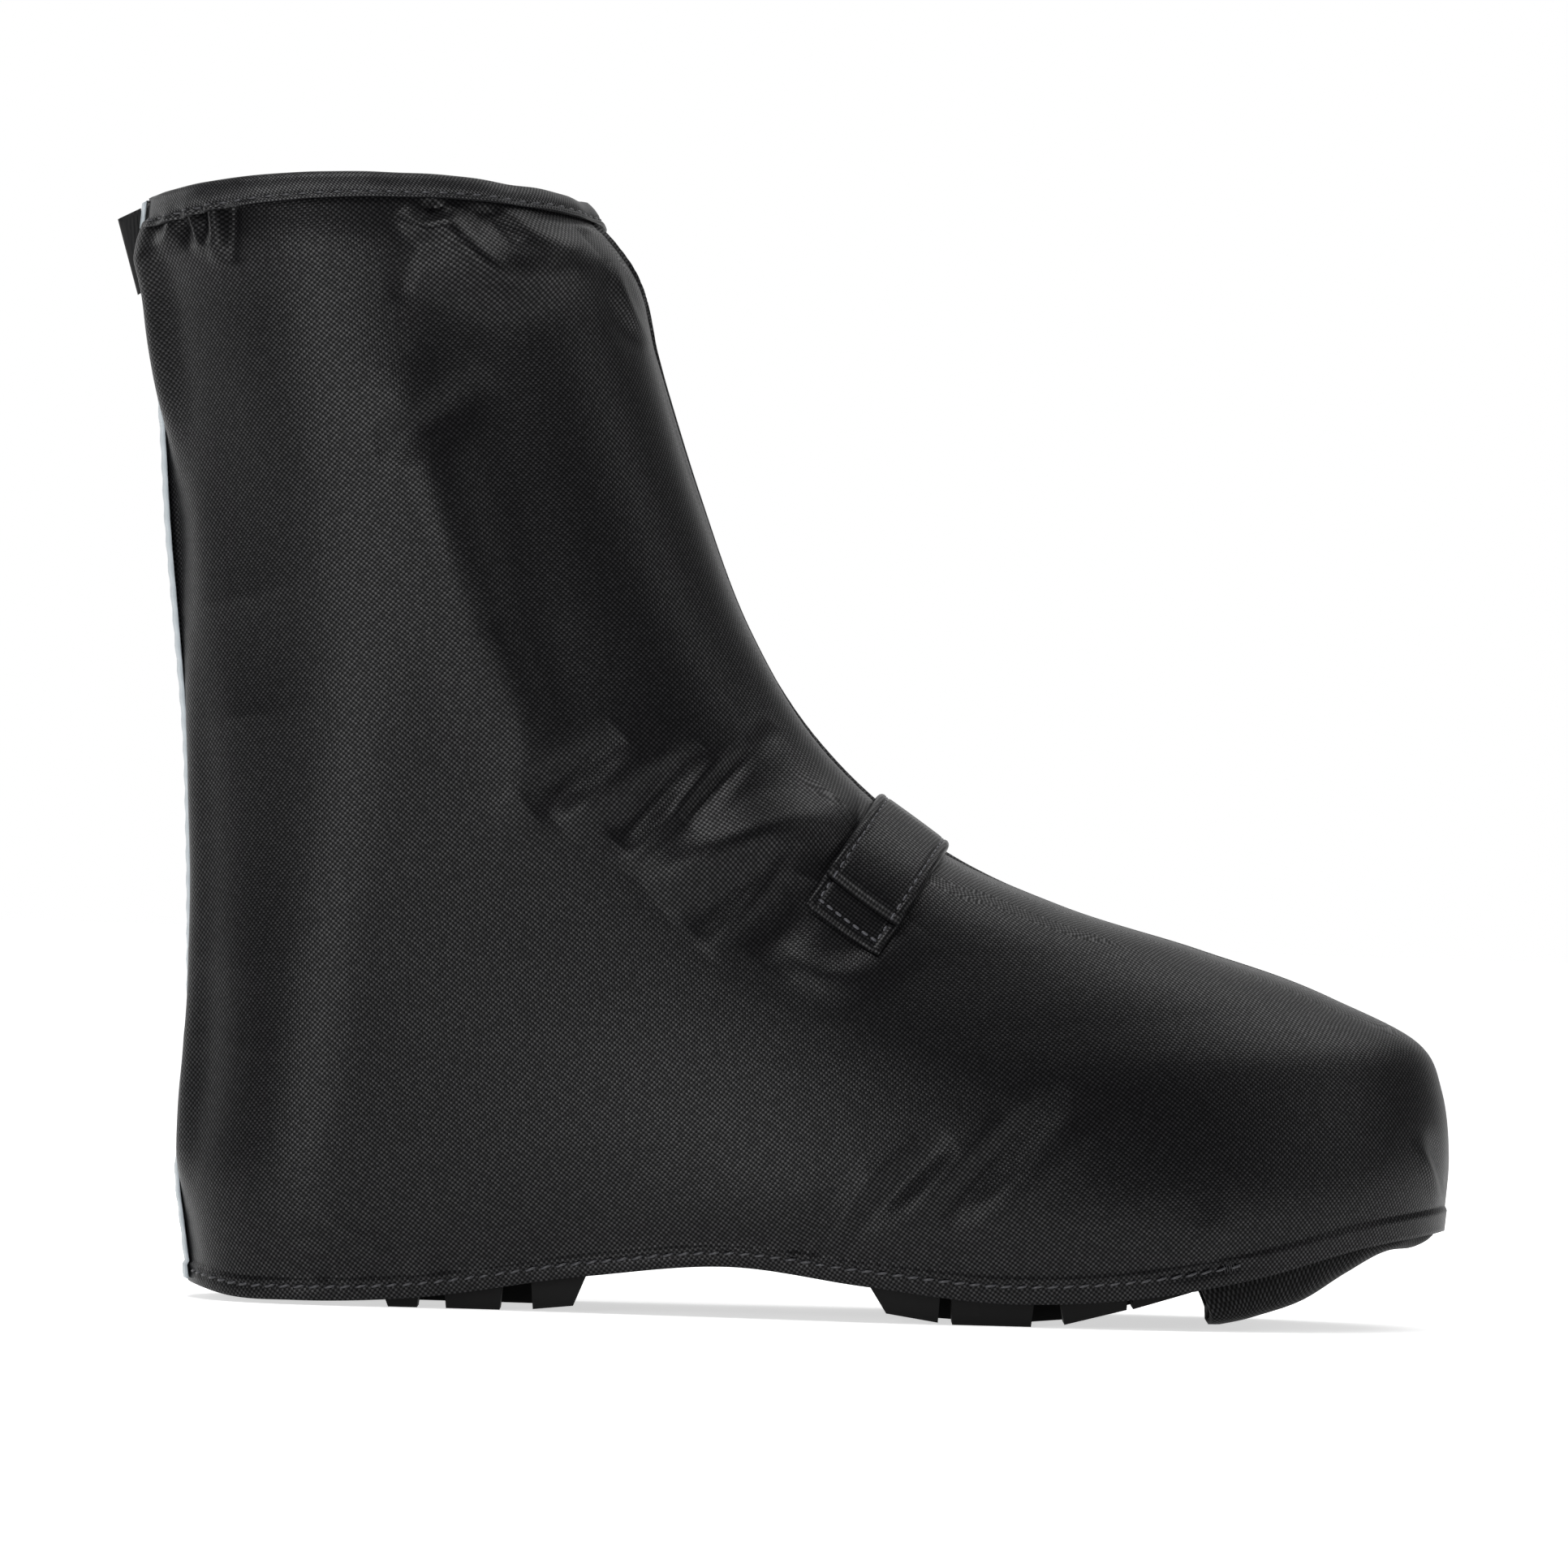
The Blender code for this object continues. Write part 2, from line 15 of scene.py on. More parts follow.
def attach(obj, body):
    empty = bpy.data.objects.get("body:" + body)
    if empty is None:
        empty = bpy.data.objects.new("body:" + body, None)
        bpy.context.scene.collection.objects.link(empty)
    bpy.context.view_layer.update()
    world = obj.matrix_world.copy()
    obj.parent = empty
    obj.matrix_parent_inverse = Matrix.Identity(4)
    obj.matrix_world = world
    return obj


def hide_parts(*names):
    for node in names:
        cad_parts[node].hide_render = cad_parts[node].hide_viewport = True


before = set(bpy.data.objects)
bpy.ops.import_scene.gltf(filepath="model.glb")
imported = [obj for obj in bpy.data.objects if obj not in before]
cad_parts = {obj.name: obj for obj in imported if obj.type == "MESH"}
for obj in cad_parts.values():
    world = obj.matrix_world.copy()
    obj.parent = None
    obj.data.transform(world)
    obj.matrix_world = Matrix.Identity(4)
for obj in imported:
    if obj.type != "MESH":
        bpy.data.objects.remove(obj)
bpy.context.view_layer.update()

MM = 0.001

# Sizes of the shoe
LENGTH = 306.0
BALL_WIDTH = 112.0
HEEL_WIDTH = 86.0
INSTEP_HEIGHT = 120.0
COLLAR_HEIGHT = 263.0
TAB_REACH = 20.6
X_CENTRE = 0.5 * (LENGTH - TAB_REACH)
Y_CENTRE = -2.0
WALL = 1.5
GAP = 0.3
HEM_LEVEL = 0.016
HEM_STEP = 0.6
HEM_TURN = 0.0145
HEM_ROW = 0.0108
HEM_ROW_END = 256.0
COLLAR_RISE = 5.5
HEM_FADE = 0.32
BINDING_LEVEL = 0.974
BINDING_THICK = 1.1
BINDING_WIDTH = 5.8
COLLAR_HELD = 0.0145
COLLAR_PUFF = 0.9
COLLAR_PUFF_BELOW = 0.05
COLLAR_PUFF_SPREAD = 0.025
STRIP_HALF = 11.0
STRIP_THICK = 0.6
OVER_BINDING = 1.1
TAPE_THICK = 0.8
TAPE_SLOT = 0.5
STRAP_HALF = 10.7
STRAP_THICK = 1.9
TAB_THICK = 1.0
STRAP_X = 173.6
STRAP_Z = 117.5
STRAP_TILT = math.radians(57.8)
POCKET_THICK = 1.2
POCKET_REAR = 246.0
POCKET_RIM = 5.0
POCKET_LEAN = 0.45

# Sections from the hem (level 0) to the collar (level 1), as in the construction model.
Section = namedtuple("Section", "level back_x back_z front_x front_z ball heel heel_round toe_round")
SECTIONS = [
    Section(0.00, 4.0, 5.0, LENGTH - 1.2, 24.0, 0.92, 0.88, 37, 78),
    Section(0.05, 2.0, 18.0, LENGTH, 41.0, 1.00, 0.95, 39, 86),
    Section(0.10, 0.4, 30.5, LENGTH - 2.2, 57.5, 0.98, 0.98, 40, 95),
    Section(0.15, 1.4, 43.5, 297.5, 69.2, 0.94, 0.99, 41, 108),
    Section(0.20, 2.2, 56.0, 277.0, 79.4, 0.88, 0.99, 42, 122),
    Section(0.30, 1.8, 82.0, 244.2, 89.8, 0.80, 0.98, 44, 132),
    Section(0.40, 0.9, 108.0, 210.7, 99.5, 0.78, 0.98, 48, 122),
    Section(0.50, -0.6, 134.0, 179.5, INSTEP_HEIGHT - 7.0, 0.79, 1.01, 54, 108),
    Section(0.60, -3.4, 159.5, 152.6, INSTEP_HEIGHT + 15.2, 0.81, 1.04, 62, 90),
    Section(0.70, -6.3, 185.0, 134.1, 163.5, 0.84, 1.08, 68, 73),
    Section(0.80, -8.4, 210.5, 120.8, 196.2, 0.86, 1.11, 65, 66),
    Section(0.90, -11.4, 236.1, 109.6, 229.3, 0.87, 1.13, 61, 62),
    Section(0.96, -13.3, 252.0, 103.2, 249.3, 0.86, 1.12, 58, 59),
    Section(1.00, -12.8, COLLAR_HEIGHT - 1.2, 91.0, COLLAR_HEIGHT + 1.0, 0.82, 1.07, 51, 52),
]
LEVELS = [row.level for row in SECTIONS]
HEEL_POWER = 2.2
TOE_POWER = 2.15
OUTLINE_STEPS = 480
Edge = namedtuple("Edge", "x z")
HEM = [Edge(4, 4.2), Edge(14, 1.7), Edge(30, 1.2), Edge(55, 2.2), Edge(100, 9.0), Edge(134, 12.3),
       Edge(165, 8.8), Edge(200, 5.6), Edge(230, 7.4), Edge(258, 12.7), Edge(285, 20.5), Edge(304, 24.0)]
Swing = namedtuple("Swing", "x y")
LAST = [Swing(-25, 0), Swing(80, 0), Swing(130, -1.5), Swing(190, -3), Swing(245, 0.5), Swing(306, 9)]
POCKET = [Edge(246, 1.5), Edge(258, 3.6), Edge(270, 7.4), Edge(281, 14.2), Edge(291, 19.3), Edge(297, 19.8),
          Edge(304, 22.3)]

# Creases of the cloth: three points of each in side view, half width and height (troughs negative).
OUTER, INNER = -1, 1
Crease = namedtuple("Crease", "side x_0 z_0 x_1 z_1 x_2 z_2 width height")
CREASES = [
    # bend of the ankle, lit from the upper left: each dark line is the left bank of a trough
    Crease(OUTER, 103.9, 112.3, 113.6, 123.8, 123.9, 136.0, 3.4, -2.7),
    Crease(OUTER, 105.5, 105.7, 120.8, 123.0, 139.6, 142.5, 2.5, 1.4),
    Crease(OUTER, 119.2, 117.7, 128.6, 128.1, 140.6, 141.0, 2.7, -2.5),
    Crease(OUTER, 112.0, 101.0, 135.0, 113.5, 161.0, 118.5, 7.2, 5.4),
    Crease(OUTER, 125.6, 86.3, 135.9, 98.6, 146.1, 110.8, 2.8, 1.5),
    Crease(OUTER, 123.4, 90.7, 132.4, 101.5, 141.4, 112.2, 3.6, -1.2),
    Crease(OUTER, 139.1, 84.6, 145.9, 95.0, 150.0, 104.6, 5.5, -1.8),
    Crease(OUTER, 141.7, 90.5, 158.8, 81.5, 176.2, 94.1, 4.2, 1.5),
    Crease(OUTER, 91.1, 115.2, 99.6, 123.8, 111.0, 135.1, 4.2, 1.6),
    Crease(OUTER, 83.3, 119.2, 93.5, 127.5, 104.7, 137.7, 4.6, -1.9),
    # shaft
    Crease(OUTER, 48.4, 226.0, 63.8, 179.8, 83.5, 128.0, 9.0, 2.8),
    Crease(OUTER, 72.0, 162.7, 82.6, 139.9, 78.8, 110.0, 6.0, 1.4),
    Crease(OUTER, 71.0, 223.2, 58.2, 210.0, 44.0, 203.6, 5.0, -1.8),
    Crease(OUTER, 67.0, 246.0, 78.0, 191.7, 92.0, 124.0, 12.0, -3.2),
    Crease(OUTER, 82.0, 246.0, 95.0, 191.0, 110.0, 132.0, 17.0, -2.6),
    Crease(OUTER, -4.0, 258.0, 6.6, 201.2, 16.0, 140.0, 14.0, -2.4),
    Crease(OUTER, 14.5, 168.0, 17.7, 124.7, 11.6, 62.0, 16.0, -1.7),
    Crease(OUTER, 10.7, 80.0, 7.9, 51.4, 16.3, 18.0, 11.0, -0.7),
    # puckers that the binding draws under the collar, with a billow and a tongue of cloth in front
    Crease(OUTER, 58.0, 256.0, 74.0, 246.5, 92.0, 255.0, 7.0, 3.6),
    Crease(OUTER, 54.0, 264.0, 65.0, 251.5, 75.0, 242.5, 2.8, 1.9),
    Crease(OUTER, 64.0, 268.0, 70.0, 260.0, 76.0, 252.5, 2.8, -1.9),
    Crease(OUTER, 68.0, 261.0, 78.5, 256.0, 90.0, 250.5, 2.6, 1.1),
    Crease(OUTER, 84.0, 265.0, 88.5, 261.9, 93.5, 257.8, 2.0, 1.5),
    Crease(OUTER, 55.0, 269.0, 56.2, 263.5, 57.4, 258.0, 2.5, -2.8),
    Crease(OUTER, 48.5, 260.5, 55.6, 255.8, 63.5, 260.5, 2.2, 1.8),
    Crease(OUTER, 55.0, 254.5, 50.5, 246.6, 49.0, 238.0, 3.0, -0.8),
    Crease(OUTER, 2.0, 272.8, 3.9, 259.4, 5.8, 246.0, 2.4, 2.4),
    Crease(OUTER, 7.0, 272.6, 8.2, 259.8, 9.4, 247.0, 2.2, -2.0),
    Crease(OUTER, -0.2, 266.5, 1.4, 259.0, 3.0, 251.5, 1.8, -2.4),
    Crease(OUTER, -4.4, 267.4, -1.2, 258.2, 2.0, 249.0, 1.9, 1.9),
    Crease(OUTER, -6.2, 265.5, -3.6, 258.0, -1.0, 250.5, 1.8, -2.0),
    Crease(OUTER, -3.8, 265.9, -6.0, 257.2, -8.2, 248.5, 2.0, 1.6),
    Crease(OUTER, -7.8, 264.6, -9.4, 256.8, -11.0, 249.0, 1.8, -1.2),
    Crease(OUTER, 98.0, 250.0, 102.5, 240.0, 108.5, 230.5, 1.6, 1.0),
    Crease(OUTER, 95.0, 250.0, 99.9, 239.2, 106.0, 229.0, 2.6, -0.9),
    # lower side and toe
    Crease(OUTER, 183.0, 24.5, 196.6, 40.4, 212.5, 57.0, 3.6, -2.3),
    Crease(OUTER, 160.0, 17.0, 171.2, 31.8, 185.5, 43.5, 3.2, -2.1),
    Crease(OUTER, 148.5, 6.3, 154.8, 22.3, 166.0, 34.3, 3.2, -1.6),
    Crease(OUTER, 173.0, 22.0, 183.5, 34.6, 197.0, 49.0, 3.4, 1.4),
    Crease(OUTER, 190.0, 20.0, 203.2, 35.2, 218.0, 51.0, 6.0, 1.6),
    Crease(OUTER, 153.5, 10.3, 162.0, 27.9, 179.0, 41.8, 4.0, 1.3),
    Crease(OUTER, 28.5, 18.5, 41.6, 12.9, 53.0, 7.0, 2.2, -1.1),
    Crease(OUTER, 33.7, 19.8, 43.4, 15.9, 54.1, 11.2, 3.0, 0.8),
    Crease(OUTER, 34.5, 11.5, 37.9, 8.0, 41.5, 5.0, 2.0, -0.8),
    Crease(OUTER, 52.0, 19.0, 54.3, 13.3, 55.8, 7.0, 3.0, -0.9),
    Crease(OUTER, 65.0, 17.5, 66.6, 11.5, 68.0, 6.5, 3.0, -1.0),
    Crease(OUTER, 242.2, 18.5, 246.9, 23.5, 251.6, 27.1, 4.0, 0.9),
    Crease(OUTER, 234.0, 10.5, 245.3, 13.8, 257.0, 18.3, 2.6, -1.0),
    Crease(OUTER, 296.6, 46.0, 300.6, 38.0, 303.6, 30.5, 1.7, 1.0),
    Crease(OUTER, 299.6, 48.0, 303.0, 40.0, 305.0, 32.0, 2.2, -0.9),
    Crease(OUTER, 80.0, 14.0, 106.6, 23.4, 137.0, 28.5, 14.0, -1.2),
    # far side, finished like the near one
    Crease(INNER, 100.0, 116.0, 112.0, 128.0, 126.0, 141.0, 4.2, -2.0),
    Crease(INNER, 100.0, 106.0, 111.0, 117.5, 122.0, 131.0, 4.2, 1.6),
    Crease(INNER, 118.0, 116.0, 130.0, 130.0, 143.0, 147.0, 3.4, -2.0),
    Crease(INNER, 124.0, 112.0, 138.0, 123.0, 154.0, 131.0, 6.0, 1.6),
    Crease(INNER, 122.0, 84.0, 134.0, 97.0, 143.0, 111.0, 4.0, 1.4),
    Crease(INNER, 44.0, 254.0, 54.0, 222.0, 62.0, 180.0, 13.0, -2.0),
    Crease(INNER, 24.0, 256.0, 32.0, 210.0, 42.0, 150.0, 15.0, 1.4),
    Crease(INNER, 194.0, 30.0, 205.0, 46.0, 218.0, 60.0, 7.0, -1.2),
    Crease(INNER, 78.0, 22.0, 94.0, 40.0, 108.0, 64.0, 12.0, -1.0),
]
# Gathers that the elastic edge draws in the far side's collar: place, length, half width, height.
Gather = namedtuple("Gather", "x length width height")
FAR_GATHERS = [Gather(-4 + 8.6 * k, 9 + 5 * math.sin(2.3 * k), 2.4, 1.3 * (-1) ** k) for k in range(11)]

# Bulge of the cloth beside the back strip, which hides the strip's edge at some heights.
Bulge = namedtuple("Bulge", "z height")
BACK_BULGE = [
    Bulge(0, 0.0), Bulge(16, -0.4), Bulge(27, 0.5), Bulge(36, 2.4), Bulge(48, 3.4), Bulge(62, 3.2),
    Bulge(76, 2.5), Bulge(100, 2.1), Bulge(125, 1.9), Bulge(142, 1.2), Bulge(165, -0.3), Bulge(190, -0.6),
    Bulge(205, 1.4), Bulge(215, 3.4), Bulge(228, 4.6), Bulge(244, 4.6), Bulge(252, 4.4),
    Bulge(258, 2.6), Bulge(264, 0.0),
]
# Where the front seam lies beside the middle line: it hides behind the edge of the shoe, peeps over it above
# the strap and turns to the near side under the collar.
Seam = namedtuple("Seam", "level off height")
SEAM = [
    Seam(0.0, -2.0, 0.2), Seam(0.44, -2.0, 0.2), Seam(0.51, -0.6, 0.8), Seam(0.6, -0.4, 0.8),
    Seam(0.66, -2.0, 0.4), Seam(0.88, -2.0, 0.4), Seam(0.915, -0.2, 0.8), Seam(0.935, 2.0, 0.8),
    Seam(0.965, 9.0, 0.8), Seam(1.0, 11.0, 0.8),
]


def smooth(xs, ys, x):
    """Cubic curve through the points of a table, read at x."""
    xs = np.asarray(xs, float)
    ys = np.asarray(ys, float)
    x = np.clip(x, xs[0], xs[-1])
    i = np.clip(np.searchsorted(xs, x) - 1, 0, len(xs) - 2)
    slope = np.gradient(ys, xs)
    step = xs[i + 1] - xs[i]
    t = (x - xs[i]) / step
    return (ys[i] * (1 + 2 * t) * (1 - t) ** 2 + slope[i] * step * t * (1 - t) ** 2
            + ys[i + 1] * t * t * (3 - 2 * t) - slope[i + 1] * step * t * t * (1 - t))


def column(table, name):
    """One named column of a table."""
    return [getattr(row, name) for row in table]


def along(table, name, x):
    """A table's column read at x."""
    return smooth(column(table, "x"), column(table, name), x)


def ease(t):
    """Rise from 0 to 1 without corners."""
    t = np.clip(t, 0.0, 1.0)
    return t * t * (3 - 2 * t)


def unit(v):
    """Vectors of length one."""
    return v / np.linalg.norm(v, axis=-1, keepdims=True)


def skin(around, level):
    """Points of the cloth's outer face; around is 0 at the toe seam and 0.5 at the back."""
    around, level = np.broadcast_arrays(np.mod(around, 1.0), np.asarray(level, float))
    rows, row_of = np.unique(level, return_inverse=True)
    row_of = row_of.reshape(level.shape)
    part = {name: smooth(LEVELS, column(SECTIONS, name), rows)[:, None] for name in Section._fields[1:]}
    length = np.hypot(part["front_x"] - part["back_x"], part["front_z"] - part["back_z"])
    chord = 0.5 + 0.5 * np.cos(np.linspace(0, math.pi, OUTLINE_STEPS))
    ball = 0.5 * BALL_WIDTH * part["ball"]
    heel = 0.5 * HEEL_WIDTH * part["heel"]
    back = 1 - np.minimum(chord * length / part["heel_round"], 1)
    front = 1 - np.minimum((1 - chord) * length / part["toe_round"], 1)
    width = heel + (ball - heel) * ease((chord - 0.18) / 0.47)
    width = width * (1 - back ** HEEL_POWER) ** (1 / HEEL_POWER)
    width = width * (1 - front ** TOE_POWER) ** (1 / TOE_POWER)
    run = np.zeros_like(width)
    run[:, 1:] = np.cumsum(np.hypot(np.diff(chord) * length, np.diff(width, axis=1)), axis=1)
    run = run / run[:, -1:]
    # Each row's way runs from 0 to 1, so all rows are searched at once, two apart.
    keys = (run + 2.0 * np.arange(len(rows))[:, None]).ravel()
    want = 1 - np.abs(1 - 2 * around) + 2.0 * row_of
    first = row_of * OUTLINE_STEPS
    k = np.clip(np.searchsorted(keys, want, side="right") - 1, first, first + OUTLINE_STEPS - 2)
    t = (want - keys[k]) / (keys[k + 1] - keys[k])
    s = chord[k - first] * (1 - t) + chord[k - first + 1] * t
    w = width.ravel()[k] * (1 - t) + width.ravel()[k + 1] * t
    here = {name: values[row_of, 0] for name, values in part.items()}
    x = here["back_x"] + s * (here["front_x"] - here["back_x"])
    z = here["back_z"] + s * (here["front_z"] - here["back_z"])
    foot = SECTIONS[0]
    slope = (foot.front_z - foot.back_z) / (foot.front_x - foot.back_x)
    fall = along(HEM, "z", x) - foot.back_z - (x - foot.back_x) * slope
    z = z + fall * np.maximum(0.0, 1 - level / HEM_FADE) ** 2
    z = z + COLLAR_RISE * (w / width.max(axis=1)[row_of]) ** 2 * ease((level - 0.8) / 0.2)
    y = np.where(around > 0.5, w, -w) + along(LAST, "y", x)
    return np.stack([x, y, z], axis=-1)


def way_round():
    """Table of the way round a section by level."""
    levels = np.linspace(0, 1, 101)
    rings = skin(np.linspace(0, 1, 361), levels[:, None])
    return levels, np.linalg.norm(np.diff(rings, axis=1), axis=-1).sum(axis=1)


GIRTHS = way_round()


def girth(level):
    """Way round a section."""
    return np.interp(level, *GIRTHS)


def frame_at(around, level):
    """Points, outward directions and upward directions on the outer face."""
    around, level = np.broadcast_arrays(np.asarray(around, float), np.asarray(level, float))
    turn = skin(around + 0.0015, level) - skin(around - 0.0015, level)
    climb = unit(skin(around, np.minimum(level + 0.004, 1.0)) - skin(around, np.maximum(level - 0.004, 0.0)))
    return skin(around, level), unit(np.cross(climb, turn)), climb


def crease_lift(x, z, crease):
    """Height that one crease adds at points of the side view."""
    t = np.linspace(0, 1, 33)
    first, middle, last = (2 * t - 1) * (t - 1), 4 * t * (1 - t), t * (2 * t - 1)
    path_x = first * crease.x_0 + middle * crease.x_1 + last * crease.x_2
    path_z = first * crease.z_0 + middle * crease.z_1 + last * crease.z_2
    apart = (x[:, None] - path_x) ** 2 + (z[:, None] - path_z) ** 2
    # The nearest place lies between steps, at the bottom of a parabola through three of them.
    i = np.clip(apart.argmin(axis=1), 1, len(t) - 2)
    row = np.arange(len(x))
    before, here, after = apart[row, i - 1], apart[row, i], apart[row, i + 1]
    bend = before - 2 * here + after
    shift = np.clip(0.5 * (before - after) / bend, -1, 1)
    apart = np.maximum(here + 0.5 * (after - before) * shift + 0.5 * bend * shift ** 2, 0)
    fade = np.sin(math.pi * np.clip(t[i] + shift * t[1], 0, 1)) ** 0.8
    return crease.height * np.exp(-apart / crease.width ** 2) * fade


def fold_lift(points, around, level):
    """Height of all folds over the smooth cloth."""
    x, z = points[..., 0], points[..., 2]
    side = np.where(np.mod(around, 1.0) > 0.5, INNER, OUTER)
    lift = np.zeros(x.shape)
    for crease in CREASES:
        reach = 3 * crease.width
        xs = (crease.x_0, crease.x_1, crease.x_2)
        zs = (crease.z_0, crease.z_1, crease.z_2)
        near = (side == crease.side) & (x > min(xs) - reach) & (x < max(xs) + reach)
        near &= (z > min(zs) - reach) & (z < max(zs) + reach)
        lift[near] += crease_lift(x[near], z[near], crease)
    under = np.maximum(COLLAR_HEIGHT - 5.0 - z, 0)
    for gather in FAR_GATHERS:
        hang = np.exp(-(under / gather.length) ** 2 - ((x - gather.x) / gather.width) ** 2)
        lift += np.where(side == INNER, gather.height * hang, 0.0)
    # Slack of the cloth, its puff under the binding and its bulge beside the strip at the back.
    lift += 0.35 * np.sin(x / 17.0 + z / 31.0) * np.sin(z / 23.0 - x / 41.0 + side)
    from_back = np.abs(np.mod(around, 1.0) - 0.5) * girth(level)
    from_front = 0.5 * girth(level) - from_back
    puff = COLLAR_PUFF * np.exp(-((1.0 - level - COLLAR_PUFF_BELOW) / COLLAR_PUFF_SPREAD) ** 2)
    lift += puff * ease(from_front / 40.0)
    bulge = smooth(column(BACK_BULGE, "z"), column(BACK_BULGE, "height"), z)
    lift += bulge * np.exp(-((from_back - STRIP_HALF - 4.0) / 6.0) ** 2)
    # The binding, the hem, the strip and the front seam hold the cloth down.
    held = ease((1.0 - level - COLLAR_HELD) / 0.007) * ease(level / 0.02)
    return lift * held * ease((from_back - STRIP_HALF + 2.0) / 4.0) * ease(from_front / 7.0)


def make_mesh(name, points, faces, material, uv=None, smooth_faces=True):
    """Mesh object from points in millimetres, with flat lengths as its UV map."""
    mesh = bpy.data.meshes.new(name)
    points = (np.asarray(points, float) - (X_CENTRE, Y_CENTRE, 0.0)) * MM
    mesh.from_pydata(points.tolist(), [], [tuple(int(i) for i in face) for face in faces])
    if uv is not None:
        layer = mesh.uv_layers.new(name="flat")
        corners = np.empty(len(mesh.loops), np.int32)
        mesh.loops.foreach_get("vertex_index", corners)
        layer.data.foreach_set("uv", np.asarray(uv, float)[corners].ravel())
    work = bmesh.new()
    work.from_mesh(mesh)
    bmesh.ops.recalc_face_normals(work, faces=work.faces)
    work.to_mesh(mesh)
    work.free()
    mesh.polygons.foreach_set("use_smooth", [smooth_faces] * len(mesh.polygons))
    mesh.materials.append(material)
    thing = bpy.data.objects.new(name, mesh)
    bpy.context.scene.collection.objects.link(thing)
    return thing


def show(thing, slot, *nodes):
    """Let a piece ride on the part and stand for CAD nodes."""
    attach(thing, "root")
    if nodes:
        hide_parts(*nodes)
    return thing


def grid_faces(rows, cols, close_rows=False, close_cols=False, start=0):
    """Quads of a grid of points."""
    faces = []
    for i in range(rows if close_rows else rows - 1):
        k = (i + 1) % rows
        for j in range(cols if close_cols else cols - 1):
            m = (j + 1) % cols
            corners = (i * cols + j, i * cols + m, k * cols + m, k * cols + j)
            faces.append(tuple(start + corner for corner in corners))
    return faces


def rim_faces(rows, cols, count):
    """Quads that join the rims of two sheets with the same grid."""
    rim = list(range(cols)) + [i * cols + cols - 1 for i in range(1, rows)]
    rim += [(rows - 1) * cols + j for j in range(cols - 2, -1, -1)]
    rim += [i * cols for i in range(rows - 2, 0, -1)]
    return [(a, b, b + count, a + count) for a, b in zip(rim, rim[1:] + rim[:1])]


def flatten(sheet):
    """Flat pattern of a curved sheet: its side view, relaxed until the threads keep their lengths."""
    plan = sheet[..., (0, 2)].copy()
    springs = []
    for i, j in ((0, 1), (1, 0), (1, 1), (1, -1)):
        a = (slice(None, -i or None), slice(-j if j < 0 else None, -j if j > 0 else None))
        b = (slice(i or None, None), slice(j if j > 0 else None, j if j < 0 else None))
        springs.append((a, b, np.linalg.norm(sheet[b] - sheet[a], axis=-1)))
    for _ in range(900):
        push = np.zeros_like(plan)
        for a, b, rest in springs:
            gap = plan[b] - plan[a]
            size = np.linalg.norm(gap, axis=-1)
            pull = gap * (0.5 * (size - rest) / np.maximum(size, 1e-6))[..., None]
            push[a] += pull
            push[b] -= pull
        plan += 0.22 * push
    return plan


def linear(code):
    """Linear colour from an sRGB hex value."""
    parts = [int(code[i:i + 2], 16) / 255 for i in (1, 3, 5)]
    return tuple(c / 12.92 if c <= 0.04045 else ((c + 0.055) / 1.055) ** 2.4 for c in parts) + (1.0,)


def add(tree, kind, sockets=None, **settings):
    """Node of a kind with its settings; sockets take plain values or another node's output."""
    node = tree.nodes.new(kind)
    for name, value in settings.items():
        setattr(node, name, value)
    for name, value in (sockets or {}).items():
        if isinstance(value, bpy.types.NodeSocket):
            tree.links.new(value, node.inputs[name])
        else:
            node.inputs[name].default_value = value
    return node


def surface(name, **sockets):
    """Material with a Principled surface, its tree and that surface."""
    material = bpy.data.materials.new(name)
    material.use_nodes = True
    shader = material.node_tree.nodes["Principled BSDF"]
    for socket, value in sockets.items():
        shader.inputs[socket.replace("_", " ")].default_value = value
    return material, material.node_tree, shader


